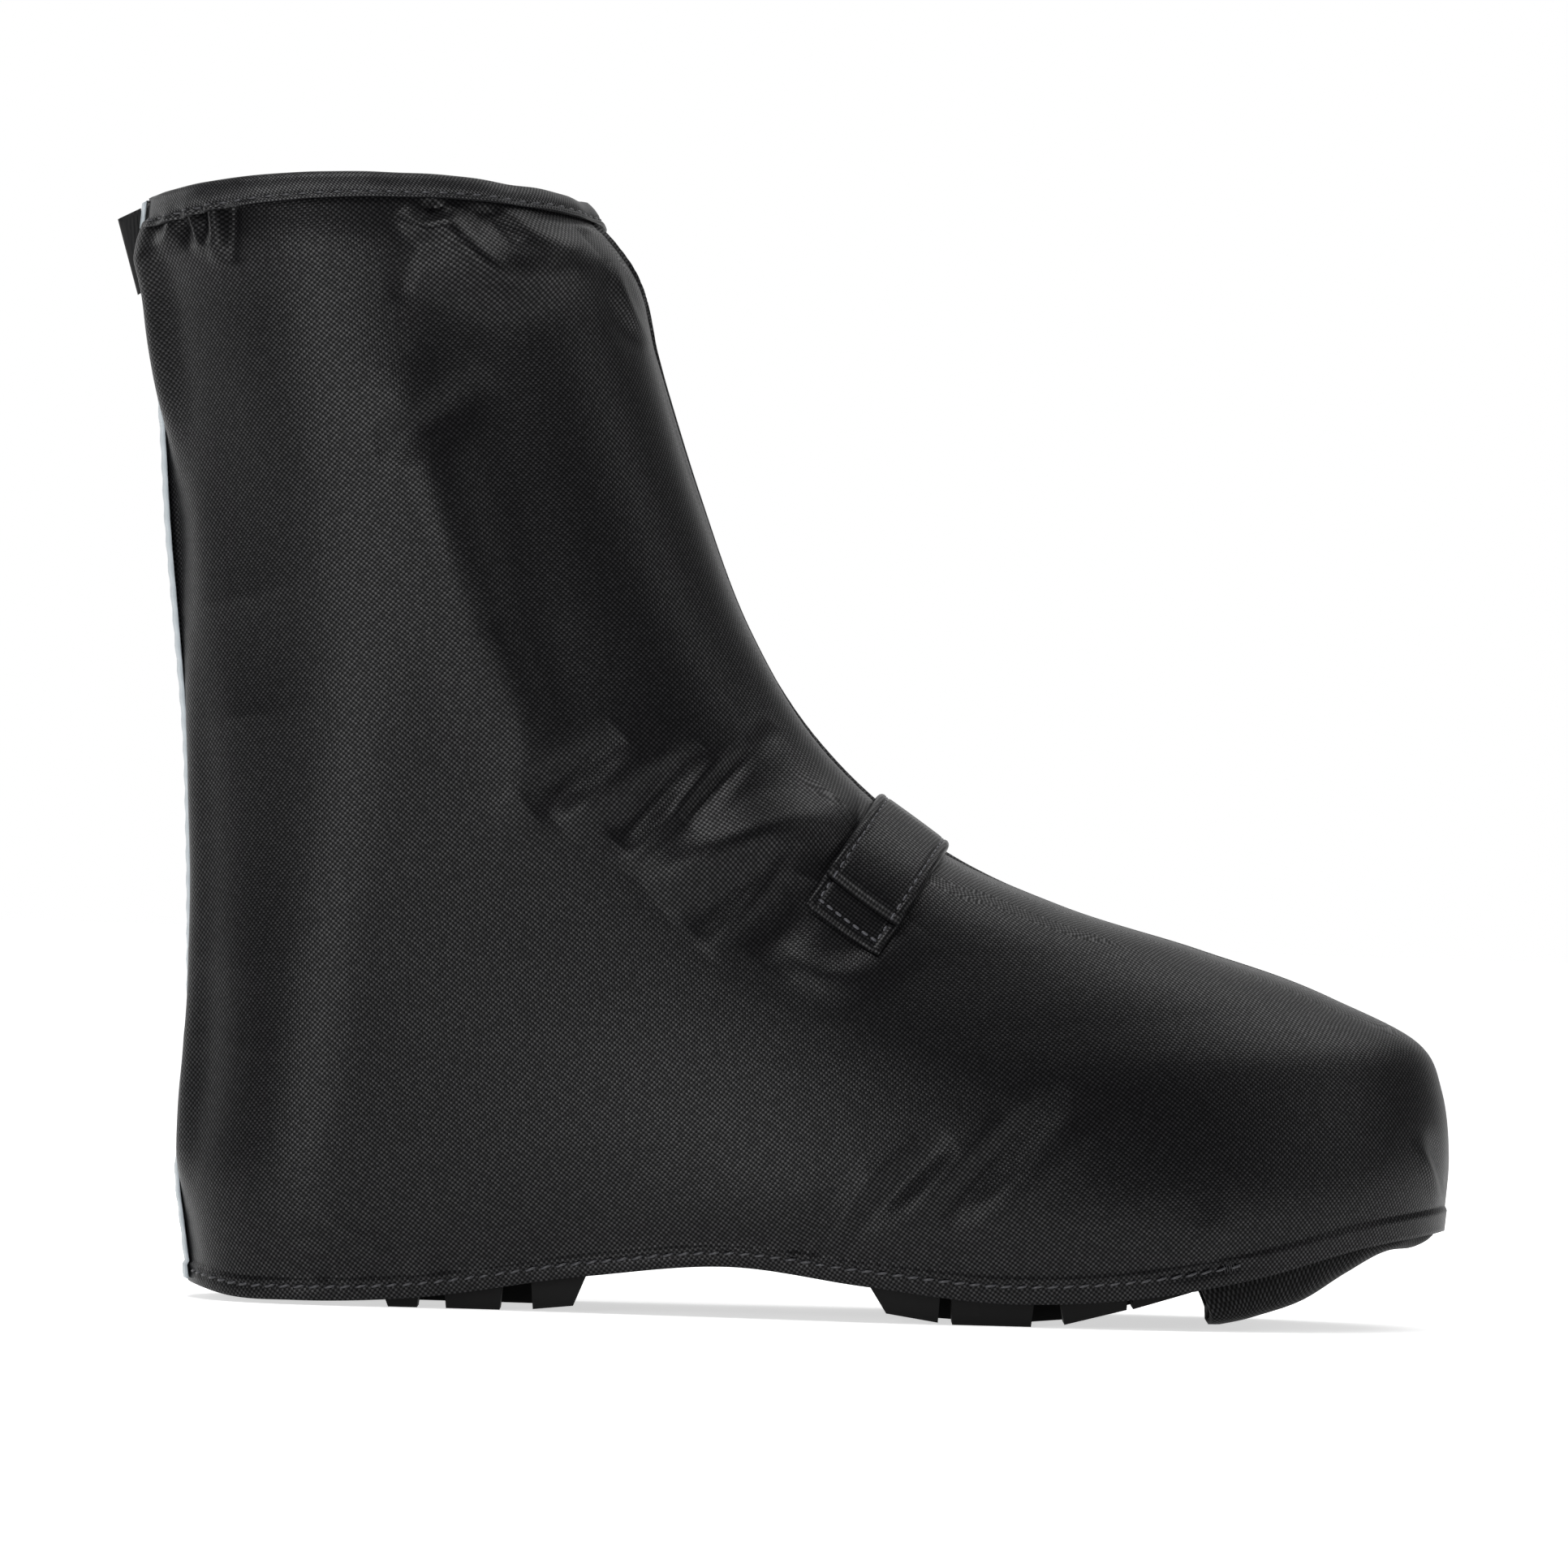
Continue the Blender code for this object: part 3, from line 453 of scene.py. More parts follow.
def woven_cloth(name, pitch, dark, light, depth, **sockets):
    """Plain weave of continuous filament yarns, pitch millimetres apart in the flat pattern.

    Each crossing is a small bump. Warp and weft crossings catch the light by turns: the lighter ones are
    painted paler in the base colour, as painted glints, and made glossier, some crossings more than others at
    random.
    """
    material, tree, shader = surface(name, **sockets)
    flat = add(tree, "ShaderNodeUVMap", uv_map="flat")
    turns = add(tree, "ShaderNodeVectorMath", {0: flat.outputs["UV"], 1: (1 / pitch,) * 3},
                operation="MULTIPLY")
    cell = add(tree, "ShaderNodeVectorMath", {0: turns.outputs[0]}, operation="FLOOR")
    chance = add(tree, "ShaderNodeTexWhiteNoise", {"Vector": cell.outputs[0]}, noise_dimensions="2D")
    angle = add(tree, "ShaderNodeVectorMath", {0: turns.outputs[0], 1: (math.pi,) * 3}, operation="MULTIPLY")
    wave = add(tree, "ShaderNodeVectorMath", {0: angle.outputs[0]}, operation="SINE")
    parts = add(tree, "ShaderNodeSeparateXYZ", {0: wave.outputs[0]})
    cross = add(tree, "ShaderNodeMath", {0: parts.outputs["X"], 1: parts.outputs["Y"]}, operation="MULTIPLY")
    height = add(tree, "ShaderNodeMath", {0: cross.outputs[0]}, operation="ABSOLUTE")
    over = add(tree, "ShaderNodeMapRange", {"Value": cross.outputs[0], "From Min": -0.3, "From Max": 0.9})
    spark = add(tree, "ShaderNodeMapRange", {"Value": chance.outputs["Value"], "To Min": 0.5, "To Max": 1.0})
    lit = add(tree, "ShaderNodeMath", {0: over.outputs[0], 1: spark.outputs[0]}, operation="MULTIPLY")
    # Painted glints: the base colour is paler at the crossings that would catch the light.
    blend = add(tree, "ShaderNodeMix", {"Factor": lit.outputs[0], "A": linear(dark), "B": linear(light)},
                data_type="RGBA")
    tree.links.new(blend.outputs["Result"], shader.inputs["Base Color"])
    level = shader.inputs["Specular IOR Level"].default_value
    gloss = add(tree, "ShaderNodeMapRange",
                {"Value": lit.outputs[0], "To Min": 0.35 * level, "To Max": 2.8 * level, "From Max": 0.8})
    tree.links.new(gloss.outputs[0], shader.inputs["Specular IOR Level"])
    bump = add(tree, "ShaderNodeBump", {"Height": height.outputs[0], "Strength": depth, "Distance": 0.0003})
    tree.links.new(bump.outputs[0], shader.inputs["Normal"])
    return material


# Coated polyester Oxford cloth: dull black with a fine grain of glints, partly painted into its base colour,
# and a pale bloom at grazing light.
# The yarns are 0.5 mm apart; they are drawn 0.62 mm apart so that the grain shows in the picture.
oxford = woven_cloth("polyester_oxford", 0.62, "#080809", "#131215", 0.13, Roughness=0.4, IOR=1.55,
                     Specular_IOR_Level=0.155, Sheen_Weight=0.01, Sheen_Roughness=0.35)
# Toe cup: a duller, less glossy copy of the Oxford cloth that stands in for the shade under the toe, so its
# underside stays dark.
oxford_in_shade = woven_cloth("polyester_oxford_in_shade", 0.62, "#080808", "#1a1a1c", 0.15, Roughness=0.6, IOR=1.53,
                     Specular_IOR_Level=0.1)
# Nylon edge binding: a closer, smoother weave, a shade lighter than the cloth.
binding_tape = woven_cloth("nylon_binding", 0.45, "#08080a", "#1b1b1e", 0.1, Roughness=0.5, IOR=1.53,
                           Specular_IOR_Level=0.35, Sheen_Weight=0.02, Sheen_Roughness=0.4)
# Polyester sewing thread: dark grey, a little glossier than the cloth, so the stitches read as a line.
thread = surface("polyester_thread", Base_Color=linear("#2a2a2e"), Roughness=0.4, IOR=1.55)[0]
# Thicker thread of the strap: paler, so its long stitches stand out from the weave.
strap_thread = surface("polyester_topstitch", Base_Color=linear("#3e3e43"), Roughness=0.38, IOR=1.55)[0]
# Polyester grosgrain tape: close cross ribs, dull black.
grosgrain = surface("polyester_grosgrain", Base_Color=linear("#0c0c0d"), Roughness=0.65, IOR=1.55,
                    Specular_IOR_Level=0.25)[0]
# Glass-bead reflective tape: pale cool grey with a faint embossed net.
reflective, tape_tree, tape_shader = surface("glass_bead_tape", Base_Color=linear("#a3abb0"),
                                             Roughness=0.4, IOR=1.5)
tape_flat = add(tape_tree, "ShaderNodeUVMap", uv_map="flat")
tape_net = add(tape_tree, "ShaderNodeTexVoronoi",
               {"Vector": tape_flat.outputs[0], "Scale": 0.9, "Randomness": 0.15})
tape_bump = add(tape_tree, "ShaderNodeBump",
                {"Height": tape_net.outputs["Distance"], "Strength": 0.25, "Distance": 0.0002})
tape_tree.links.new(tape_bump.outputs[0], tape_shader.inputs["Normal"])
# Carbon-black tread rubber: matt, with a fine moulded grain.
rubber, rubber_tree, rubber_shader = surface("tread_rubber", Base_Color=linear("#070707"), Roughness=0.62,
                                             IOR=1.52, Specular_IOR_Level=0.15)
grain = add(rubber_tree, "ShaderNodeTexNoise", {"Scale": 900.0, "Detail": 2.0})
rubber_bump = add(rubber_tree, "ShaderNodeBump",
                  {"Height": grain.outputs[0], "Strength": 0.15, "Distance": 0.0003})
rubber_tree.links.new(rubber_bump.outputs[0], rubber_shader.inputs["Normal"])
# Polyamide lining: plain dark grey, seen only inside the collar.
lining = surface("polyamide_lining", Base_Color=linear("#1a1a1c"), Roughness=0.8, IOR=1.53,
                 Specular_IOR_Level=0.3)[0]


def steps_between(stops):
    """Rising values between pairs of (end, count), starting at zero."""
    values, last = [np.zeros(1)], 0.0
    for stop, count in stops:
        values.append(np.linspace(last, stop, count + 1)[1:])
        last = stop
    return np.concatenate(values)


# Columns of the cloth mesh from the front seam round the near side to the back and round the far side,
# and its rows from the hem to the collar; both are closest at the bend of the ankle.
UPPER_SHARES = steps_between([(0.009, 12), (0.27, 168), (0.5, 78), (0.991, 92), (1.0, 12)])[:-1]
UPPER_LEVELS = steps_between([(HEM_TURN, 6), (0.021, 5), (0.42, 72), (0.72, 92), (0.9, 28), (0.955, 18),
                              (1.0, 27)])


def turned(flat, degrees):
    """Flat places turned in their plane, for cloth cut at an angle to its yarns."""
    turn = math.radians(degrees)
    return flat @ np.array([[math.cos(turn), math.sin(turn)], [-math.sin(turn), math.cos(turn)]])


PATTERN = turned(flatten(skin(np.linspace(0, 0.5, 41), np.linspace(0, 1, 41)[:, None])), -8)


def flat_pattern(around, level):
    """Place in the flat pattern of a side panel, in millimetres."""
    around, level = np.broadcast_arrays(np.mod(around, 1.0), level)
    column_at = np.minimum(around, 1 - around) * 80
    row_at = level * 40
    i = np.clip(row_at.astype(int), 0, 39)
    j = np.clip(column_at.astype(int), 0, 39)
    u, v = (row_at - i)[..., None], (column_at - j)[..., None]
    return (PATTERN[i, j] * (1 - u) * (1 - v) + PATTERN[i + 1, j] * u * (1 - v)
            + PATTERN[i, j + 1] * (1 - u) * v + PATTERN[i + 1, j + 1] * u * v)


def seam_lift(around, level):
    """Raised seam where the two panels meet at the front, with a groove on the near side."""
    place = np.interp(level, column(SEAM, "level"), column(SEAM, "off"))
    height = np.interp(level, column(SEAM, "level"), column(SEAM, "height"))
    off = (np.mod(around + 0.5, 1.0) - 0.5) * girth(level) - place
    return height * (np.exp(-((off + 0.9) / 0.8) ** 2) - 0.6 * np.exp(-((off - 0.9) / 0.6) ** 2))


def lowest_lift(shares, levels):
    """Depth of the deepest fold near each place, where the plainer inner face has to stay below."""
    deepest = np.zeros(np.broadcast_shapes(shares.shape, levels.shape))
    for up in np.linspace(-0.03, 0.03, 9):
        near = np.clip(levels + up, 0.0, 1.0)
        lift = fold_lift(skin(shares, near), shares, near)
        for turn in (-6, -3, 0, 3, 6):
            deepest = np.minimum(deepest, np.roll(lift, turn, axis=1))
    return deepest


def lining_lift(shares, levels):
    """Place of the inner face under the outer one, held flat at the collar edge."""
    return lowest_lift(shares, levels) * ease((1 - levels) / 0.03) - WALL


def build_upper():
    """Cloth upper: fine outer face with its folds and hem, plain inner face."""
    shares = UPPER_SHARES
    outer = UPPER_LEVELS[:, None]
    inner = np.concatenate([[1.0, 0.985, 0.97], np.linspace(0.947, 0.0, 19)])[:, None]
    spot, out, _ = frame_at(shares, outer)
    hem = HEM_STEP * (1 - ease((outer - HEM_TURN) / 0.003))
    sewn = ease((HEM_ROW_END + 2.0 - spot[..., 0]) / 4.0)
    hem = hem - 0.35 * sewn * np.exp(-((outer - 0.0105) / 0.0018) ** 2)
    hem = hem + 0.25 * sewn * np.sin(spot[..., 0] * 2.1) * np.exp(-((outer - 0.011) / 0.005) ** 2)
    lift = hem + fold_lift(spot, shares, outer) + seam_lift(shares, outer)
    face = spot + out * lift[..., None]
    spot, out, _ = frame_at(shares, inner)
    back = spot + out * lining_lift(shares, inner)[..., None]
    points = np.concatenate([face, back])
    uv = np.concatenate([flat_pattern(shares, outer), flat_pattern(shares, inner)])
    rows, cols = points.shape[:2]
    faces = grid_faces(rows, cols, close_rows=True, close_cols=True)
    upper = make_mesh("upper_cloth", points.reshape(-1, 3), faces, oxford, uv.reshape(-1, 2))
    upper.data.materials.append(lining)
    hidden = np.repeat(np.arange(rows) >= len(outer), cols)
    upper.data.polygons.foreach_set("material_index", hidden.astype(np.int32))
    return show(upper, "oxford_cloth", "upper")


def stitches(name, path, out, pitch, length, radius, slot="oxford_cloth", slant=0.0, yarn=thread):
    """Row of sewing stitches along a path that lies on the cloth."""
    run = np.concatenate([[0], np.cumsum(np.linalg.norm(np.diff(path, axis=0), axis=1))])
    points, faces = [], []
    shape = np.array([-0.5, -0.32, 0.0, 0.32, 0.5])
    sink = np.array([-0.9, 0.25, 0.55, 0.25, -0.9]) * radius
    swell = np.array([0.5, 0.95, 1.05, 0.95, 0.5]) * radius
    sides = 6
    for k in range(int(run[-1] // pitch)):
        spots = (k + 0.5) * pitch + shape * length
        centre = np.stack([np.interp(spots, run, path[:, i]) for i in range(3)], axis=-1)
        up = unit(np.stack([np.interp(spots, run, out[:, i]) for i in range(3)], axis=-1))
        across = unit(np.cross(np.gradient(centre, axis=0), up))
        centre = centre + across * (shape * slant)[:, None]
        start = len(points)
        for c, u, a, s, r in zip(centre, up, across, sink, swell):
            for turn in range(sides):
                angle = 2 * math.pi * turn / sides
                points.append(c + u * (s + r * math.sin(angle)) + a * r * 1.15 * math.cos(angle))
        faces += grid_faces(len(shape), sides, close_cols=True, start=start)
        faces.append(range(start, start + sides))
        faces.append(range(start + (len(shape) - 1) * sides, start + len(shape) * sides))
    return show(make_mesh(name, points, faces, yarn), slot)


def build_hem_stitches():
    """Lines of stitches that hold the turned hem."""
    shares = np.linspace(0.0, 1.0, 721)
    spot, out, _ = frame_at(shares, HEM_ROW)
    clear = (np.abs(shares - 0.5) * girth(HEM_ROW) > STRIP_HALF + 0.5) & (spot[:, 0] < HEM_ROW_END)
    rows = []
    for name, part, slant in (("hem_stitches_outer", shares < 0.5, -0.6),
                              ("hem_stitches_inner", shares > 0.5, 0.6)):
        use = clear & part
        path = spot[use] + out[use] * (HEM_STEP - 0.25)
        rows.append(stitches(name, path, out[use], pitch=3.7, length=2.9, radius=0.3, slant=slant))
        # Bar tack at the front end of the row: close stitches across it.
        last = path[np.argsort(np.abs(spot[use][:, 0] - HEM_ROW_END))[:6]]
        last = last[np.argsort(last[:, 0])]
        tack = np.linspace(last[0], last[0] + 3.2 * unit(last[-1] - last[0]), 9)
        up = np.repeat(out[use][:1], 9, axis=0)
        rows.append(stitches(name + "_tack", tack, up, pitch=0.6, length=0.4, radius=0.26, slant=2.8))
    return rows


# Profile of the binding's outer face, from its lip up to the collar's edge: share of the width below
# the edge, and height over the plain face. The stitches lie in the groove.
Profile = namedtuple("Profile", "share height")
BINDING_FACE = [
    Profile(1.0, -0.5), Profile(0.97, -0.15), Profile(0.89, 0.0), Profile(0.82, -0.2), Profile(0.76, -0.6),
    Profile(0.7, -0.1), Profile(0.56, 0.25), Profile(0.35, 0.4), Profile(0.15, 0.3), Profile(0.0, 0.1),
]
BINDING_GROOVE = BINDING_FACE[4]
BINDING_STITCH = 4.2


def build_binding():
    """Edge binding folded over the collar, drawn into small waves by the elastic in it."""
    end = (STRIP_HALF + GAP) / girth(1.0)
    shares = np.linspace(-0.5 + end, 0.5 - end, 385)
    way = shares * girth(1.0)
    wave = 0.25 * np.sin(way / 2.9) * np.sin(way / 11.0 + 1.0) + 0.2 * np.sin(way / 4.7 + 2.0)
    inside = WALL + GAP
    # The band is widest where it comes round the front and at its back end.
    front_more = 2.4 * np.exp(-((way + 7.0) / 12.0) ** 2)
    back_more = 1.1 * np.exp(-((way[-1] - way) / 30.0) ** 2)
    wide = BINDING_WIDTH + front_more + back_more
    reach = np.linalg.norm(skin(shares, 1.0) - skin(shares, BINDING_LEVEL), axis=-1)
    # Its ends slip under the strip.
    ends = 0.3 + 0.7 * ease((way[-1] - np.abs(way)) / 7.0)
    rows = []

    def level_at(share):
        return 1 - (1 - BINDING_LEVEL) * share * wide / reach

    def row(share, lift, rise=0.0, slack=0.0):
        """Row at a share of the width below the edge; slack is how far it follows the waves."""
        level = level_at(share)
        spot, out, climb = frame_at(shares, level)
        lift = lift + slack * (wave + fold_lift(spot, shares, level))
        rows.append(spot + out * lift[:, None] + climb * rise)

    plain = np.zeros(way.shape)
    row(0.97, plain + GAP + 0.1)
    for profile in BINDING_FACE:
        notch = 0.3 * np.cos(2 * math.pi * way / BINDING_STITCH) if profile is BINDING_GROOVE else plain
        row(profile.share, GAP + (BINDING_THICK + profile.height + notch) * ends, slack=ends)
    over_edge = ((0.85, 0.75), (0.2, 1.2), (-0.7, 1.35), (-1.7, 1.2), (-2.4, 0.75),
                 (-inside - BINDING_THICK, 0.0))
    for lift, rise in over_edge:
        row(0.0, plain + lift, rise, max(0.0, min(1.0, lift + 1)))
    for share, lift in ((0.5, -GAP - BINDING_THICK), (1.0, -GAP - BINDING_THICK), (1.0, -GAP)):
        row(share, lift + lining_lift(shares, level_at(share)[None])[0])
    row(0.0, plain - inside, GAP)
    row(0.0, plain + GAP, GAP)
    sheet = np.swapaxes(np.array(rows), 0, 1)
    length, turns = sheet.shape[:2]
    faces = grid_faces(length, turns, close_cols=True)
    faces += [range(turns), range((length - 1) * turns, length * turns)]
    deep = np.cumsum(np.linalg.norm(np.diff(sheet[0], axis=0, prepend=sheet[0][:1]), axis=1))
    uv = np.stack([np.repeat(way, turns), np.tile(deep, length)], axis=-1)
    tape = make_mesh("collar_binding_tape", sheet.reshape(-1, 3), faces, binding_tape, uv)
    show(tape, "edge_binding", "collar_binding")
    level = level_at(BINDING_GROOVE.share)
    spot, out, _ = frame_at(shares, level)
    ride = GAP + (BINDING_THICK - 0.35) * ends + ends * (wave + fold_lift(spot, shares, level))
    path = spot + out * ride[:, None]
    sewn = stitches("binding_stitches", path, out, pitch=BINDING_STITCH, length=2.4, radius=0.3,
                    slot="edge_binding")
    return [tape, sewn]


def build_strip():
    """Reflective strip down the back, over the collar edge."""
    across = np.linspace(-1, 1, 13)
    dome = 1 - across ** 4
    levels = np.concatenate([np.linspace(0.003, HEM_TURN, 5), np.linspace(0.0175, 1.0, 170)])
    inside = WALL + GAP
    upper_rows, lower_rows = [], []

    def row(level, lift, rise=0.0):
        spot, out, climb = frame_at(0.5 + across * STRIP_HALF / girth(level), level)
        return spot + out * np.broadcast_to(lift, across.shape)[:, None] + climb * rise

    for level in levels:
        base = (HEM_STEP if level < HEM_LEVEL else 0.0) + GAP + OVER_BINDING * ease((level - 0.965) / 0.012)
        ripple = 0.12 * math.sin(level * 260) * ease((0.985 - level) / 0.02)
        upper_rows.append(row(level, base + STRIP_THICK * (0.65 + 0.35 * dome) + ripple))
        lower_rows.append(row(level, base, GAP if level == 1.0 else 0.0))
    upper_rows.append(row(1.0, -0.5 * WALL, GAP + STRIP_THICK + 0.2))
    lower_rows.append(row(1.0, -0.5 * WALL, GAP + 0.1))
    upper_rows.append(row(1.0, -inside - STRIP_THICK, 0.3))
    lower_rows.append(row(1.0, -inside, GAP))
    upper_rows.append(row(BINDING_LEVEL, -inside - STRIP_THICK))
    lower_rows.append(row(BINDING_LEVEL, -inside))
    rows, cols = len(upper_rows), len(across)
    count = rows * cols
    points = np.concatenate([np.array(upper_rows).reshape(-1, 3), np.array(lower_rows).reshape(-1, 3)])
    faces = grid_faces(rows, cols) + grid_faces(rows, cols, start=count) + rim_faces(rows, cols, count)
    middle = np.array(upper_rows)[:, cols // 2]
    height = np.cumsum(np.linalg.norm(np.diff(middle, axis=0, prepend=middle[:1]), axis=1))
    uv = np.stack([np.tile(across * STRIP_HALF, rows), np.repeat(height, cols)], axis=-1)
    strip = make_mesh("reflective_tape", points, faces, reflective, np.concatenate([uv, uv]))
    return show(strip, "reflective_tape", "reflective_strip")


def build_pull_loop():
    """Grosgrain tape folded in half behind the collar, with its cross ribs."""
    top_root, low_root = np.array([-15.1, 261.0]), np.array([-13.5, 241.4])
    top_fold, low_fold = np.array([-TAB_REACH, 258.2]), np.array([-15.3, 240.2])
    bend = TAPE_SLOT + TAPE_THICK
    steps = 24
    grid = []
    for t in np.linspace(0, 1, 12):
        root = top_root + t * (low_root - top_root)
        fold = top_fold + t * (low_fold - top_fold)
        reach = float(np.linalg.norm(fold - root))
        ahead = (fold - root) / reach
        straight = reach - bend
        path = [(straight * k / steps, 1.0, 0.0) for k in range(steps)]
        path += [(straight, math.cos(a), math.sin(a)) for a in np.linspace(0, math.pi, 9)]
        path += [(straight * k / steps, -1.0, 0.0) for k in range(steps - 1, -1, -1)]
        outer, inner = [], []
        for d, y, forward in path:
            rib = 0.11 * math.sin(2 * math.pi * d / 0.95) if forward == 0.0 else 0.0
            outer.append((d + bend * forward, (bend + rib) * y))
            inner.append((d + TAPE_SLOT * forward, TAPE_SLOT * y))
        grid.append([(root[0] + d * ahead[0], y, root[1] + d * ahead[1]) for d, y in outer + inner[::-1]])
    rows, cols = len(grid), len(grid[0])
    faces = grid_faces(rows, cols, close_cols=True) + [range(cols), range((rows - 1) * cols, rows * cols)]
    loop = make_mesh("pull_tape", [p for row in grid for p in row], faces, grosgrain)
    return show(loop, "grosgrain_tape", "pull_loop")


def strap_sheet(start, end, steps, wide, lift):
    """Grid of points over the instep and its swells, across the strap and along it, and their flat places.

    start and end are drops down the outer and the inner side; lift gives the heights for a
    place across (-1 to 1), the distances from the ridge and the shares of the length.
    """
    down = np.array([-math.cos(STRAP_TILT), 0.0, -math.sin(STRAP_TILT)])
    ahead = np.array([math.sin(STRAP_TILT), 0.0, -math.cos(STRAP_TILT)])
    ridge = np.array([STRAP_X, 0.0, STRAP_Z])
    trace = np.linspace(-0.22, 0.22, 177)
    levels = np.linspace(0.2, 0.85, 131)
    reach = (skin(trace, levels[:, None]) - ridge) @ ahead
    top = len(trace) // 2
    shares = np.linspace(0, 1, steps)
    sheet, flat = [], []
    for side in wide:
        level = np.array([np.interp(-side * STRAP_HALF, -reach[:, j], levels) for j in range(len(trace))])
        path = skin(trace, level)
        run = np.concatenate([[0], np.cumsum(np.linalg.norm(np.diff(path, axis=0), axis=1))])
        run = run - run[top]
        drop = (path - path[top]) @ down
        first = np.interp(start, drop[top:], run[top:])
        if end > 0:
            last = np.interp(end, drop[:top + 1][::-1], run[:top + 1][::-1])
        else:
            last = np.interp(-end, drop[top:], run[top:])
        stops = first + shares * (last - first)
        around, height = np.interp(stops, run, trace), np.interp(stops, run, level)
        spot, out, _ = frame_at(around, height)
        rise = lift(side, stops, shares) + np.maximum(fold_lift(spot, around, height), 0.0)
        sheet.append(spot + out * rise[:, None])
        flat.append(np.stack([np.full(steps, side * STRAP_HALF), stops], axis=-1))
    return np.array(sheet), np.array(flat).reshape(-1, 2)


STRAP_ACROSS = np.array([-1.0, -0.985, -0.95, -0.9, -0.84, -0.79, -0.74, -0.68, -0.5, -0.25])
STRAP_ACROSS = np.concatenate([STRAP_ACROSS, [0.0], -STRAP_ACROSS[::-1]])
STRAP_BIAS = 40


def strap_piece(name, node, start, end, steps, base, thick):
    """Strap or tab of doubled cloth with rolled edges and a sewn margin; returns it and its top face."""
    def top(side, stops, shares):
        edge = min((1 - abs(side)) / 0.12, 1.0)
        ends = np.minimum(np.minimum(shares, 1 - shares) * steps * 0.6, 1.0)
        roll = math.sqrt(max(0.0, 1 - (1 - edge) ** 2)) * np.sqrt(np.maximum(0.0, 1 - (1 - ends) ** 2))
        groove = 0.45 * math.exp(-((abs(side) - 0.79) / 0.035) ** 2)
        puff = 0.35 * max(0.0, 1 - (abs(side) / 0.8) ** 2)
        return base(stops) + thick * (0.25 + 0.75 * roll) - groove + puff * roll

    upper, flat = strap_sheet(start, end, steps, STRAP_ACROSS, top)
    lower, _ = strap_sheet(start, end, steps, STRAP_ACROSS, lambda side, stops, shares: base(stops))
    rows, cols = upper.shape[:2]
    count = rows * cols
    points = np.concatenate([upper.reshape(-1, 3), lower.reshape(-1, 3)])
    faces = grid_faces(rows, cols) + grid_faces(rows, cols, start=count) + rim_faces(rows, cols, count)
    piece = make_mesh(name, points, faces, oxford, turned(np.concatenate([flat, flat]), STRAP_BIAS))
    return show(piece, "oxford_cloth", node), upper


def build_strap():
    """Closing strap over the instep, the sewn tab under its end, and their stitches."""
    def tab_base(run):
        return np.full(run.shape, 0.4)

    def strap_base(run):
        over_tab = ease((run - 6.0) / 6.0)
        over_seam = ease((run + 24.0) / 14.0)
        return 0.5 + 0.55 * over_seam + (TAB_THICK + GAP - 0.55) * over_tab

    def sew(name, path, pitch, radius):
        ahead = unit(np.gradient(path, axis=0))
        up = unit(path - (STRAP_X, 0.0, STRAP_Z - 45.0))
        up = unit(up - ahead * (up * ahead).sum(axis=1, keepdims=True))
        stitches(name, path, up, pitch, pitch * 0.78, radius, yarn=strap_thread)

    edge = int(np.argmin(np.abs(STRAP_ACROSS + 0.79)))
    _, face = strap_piece("instep_strap_cloth", "instep_strap", start=21.5, end=34.0, steps=60,
                          base=strap_base, thick=STRAP_THICK)
    sew("strap_stitches_back", face[edge], pitch=3.0, radius=0.26)
    sew("strap_stitches_front", face[-1 - edge], pitch=3.0, radius=0.26)
    _, face = strap_piece("strap_tab_cloth", "strap_tab", start=29.5, end=-9.0, steps=36,
                          base=tab_base, thick=TAB_THICK)
    end = 4
    box = np.concatenate([face[edge, 12:end:-1], face[edge:-edge, end], face[-1 - edge, end + 1:13]])
    sew("tab_stitches", box, pitch=2.6, radius=0.3)


def side_ring(shares, height, inset):
    """Ring inside the upper at a height given along the foot."""
    low, high = np.zeros(len(shares)), np.full(len(shares), 0.16)
    for _ in range(16):
        middle = 0.5 * (low + high)
        spot = skin(shares, middle)
        below = spot[:, 2] < height(spot[:, 0])
        low, high = np.where(below, middle, low), np.where(below, high, middle)
    spot, out, _ = frame_at(shares, low)
    ring = spot - out * inset
    ring[:, 2] = height(ring[:, 0])
    return ring


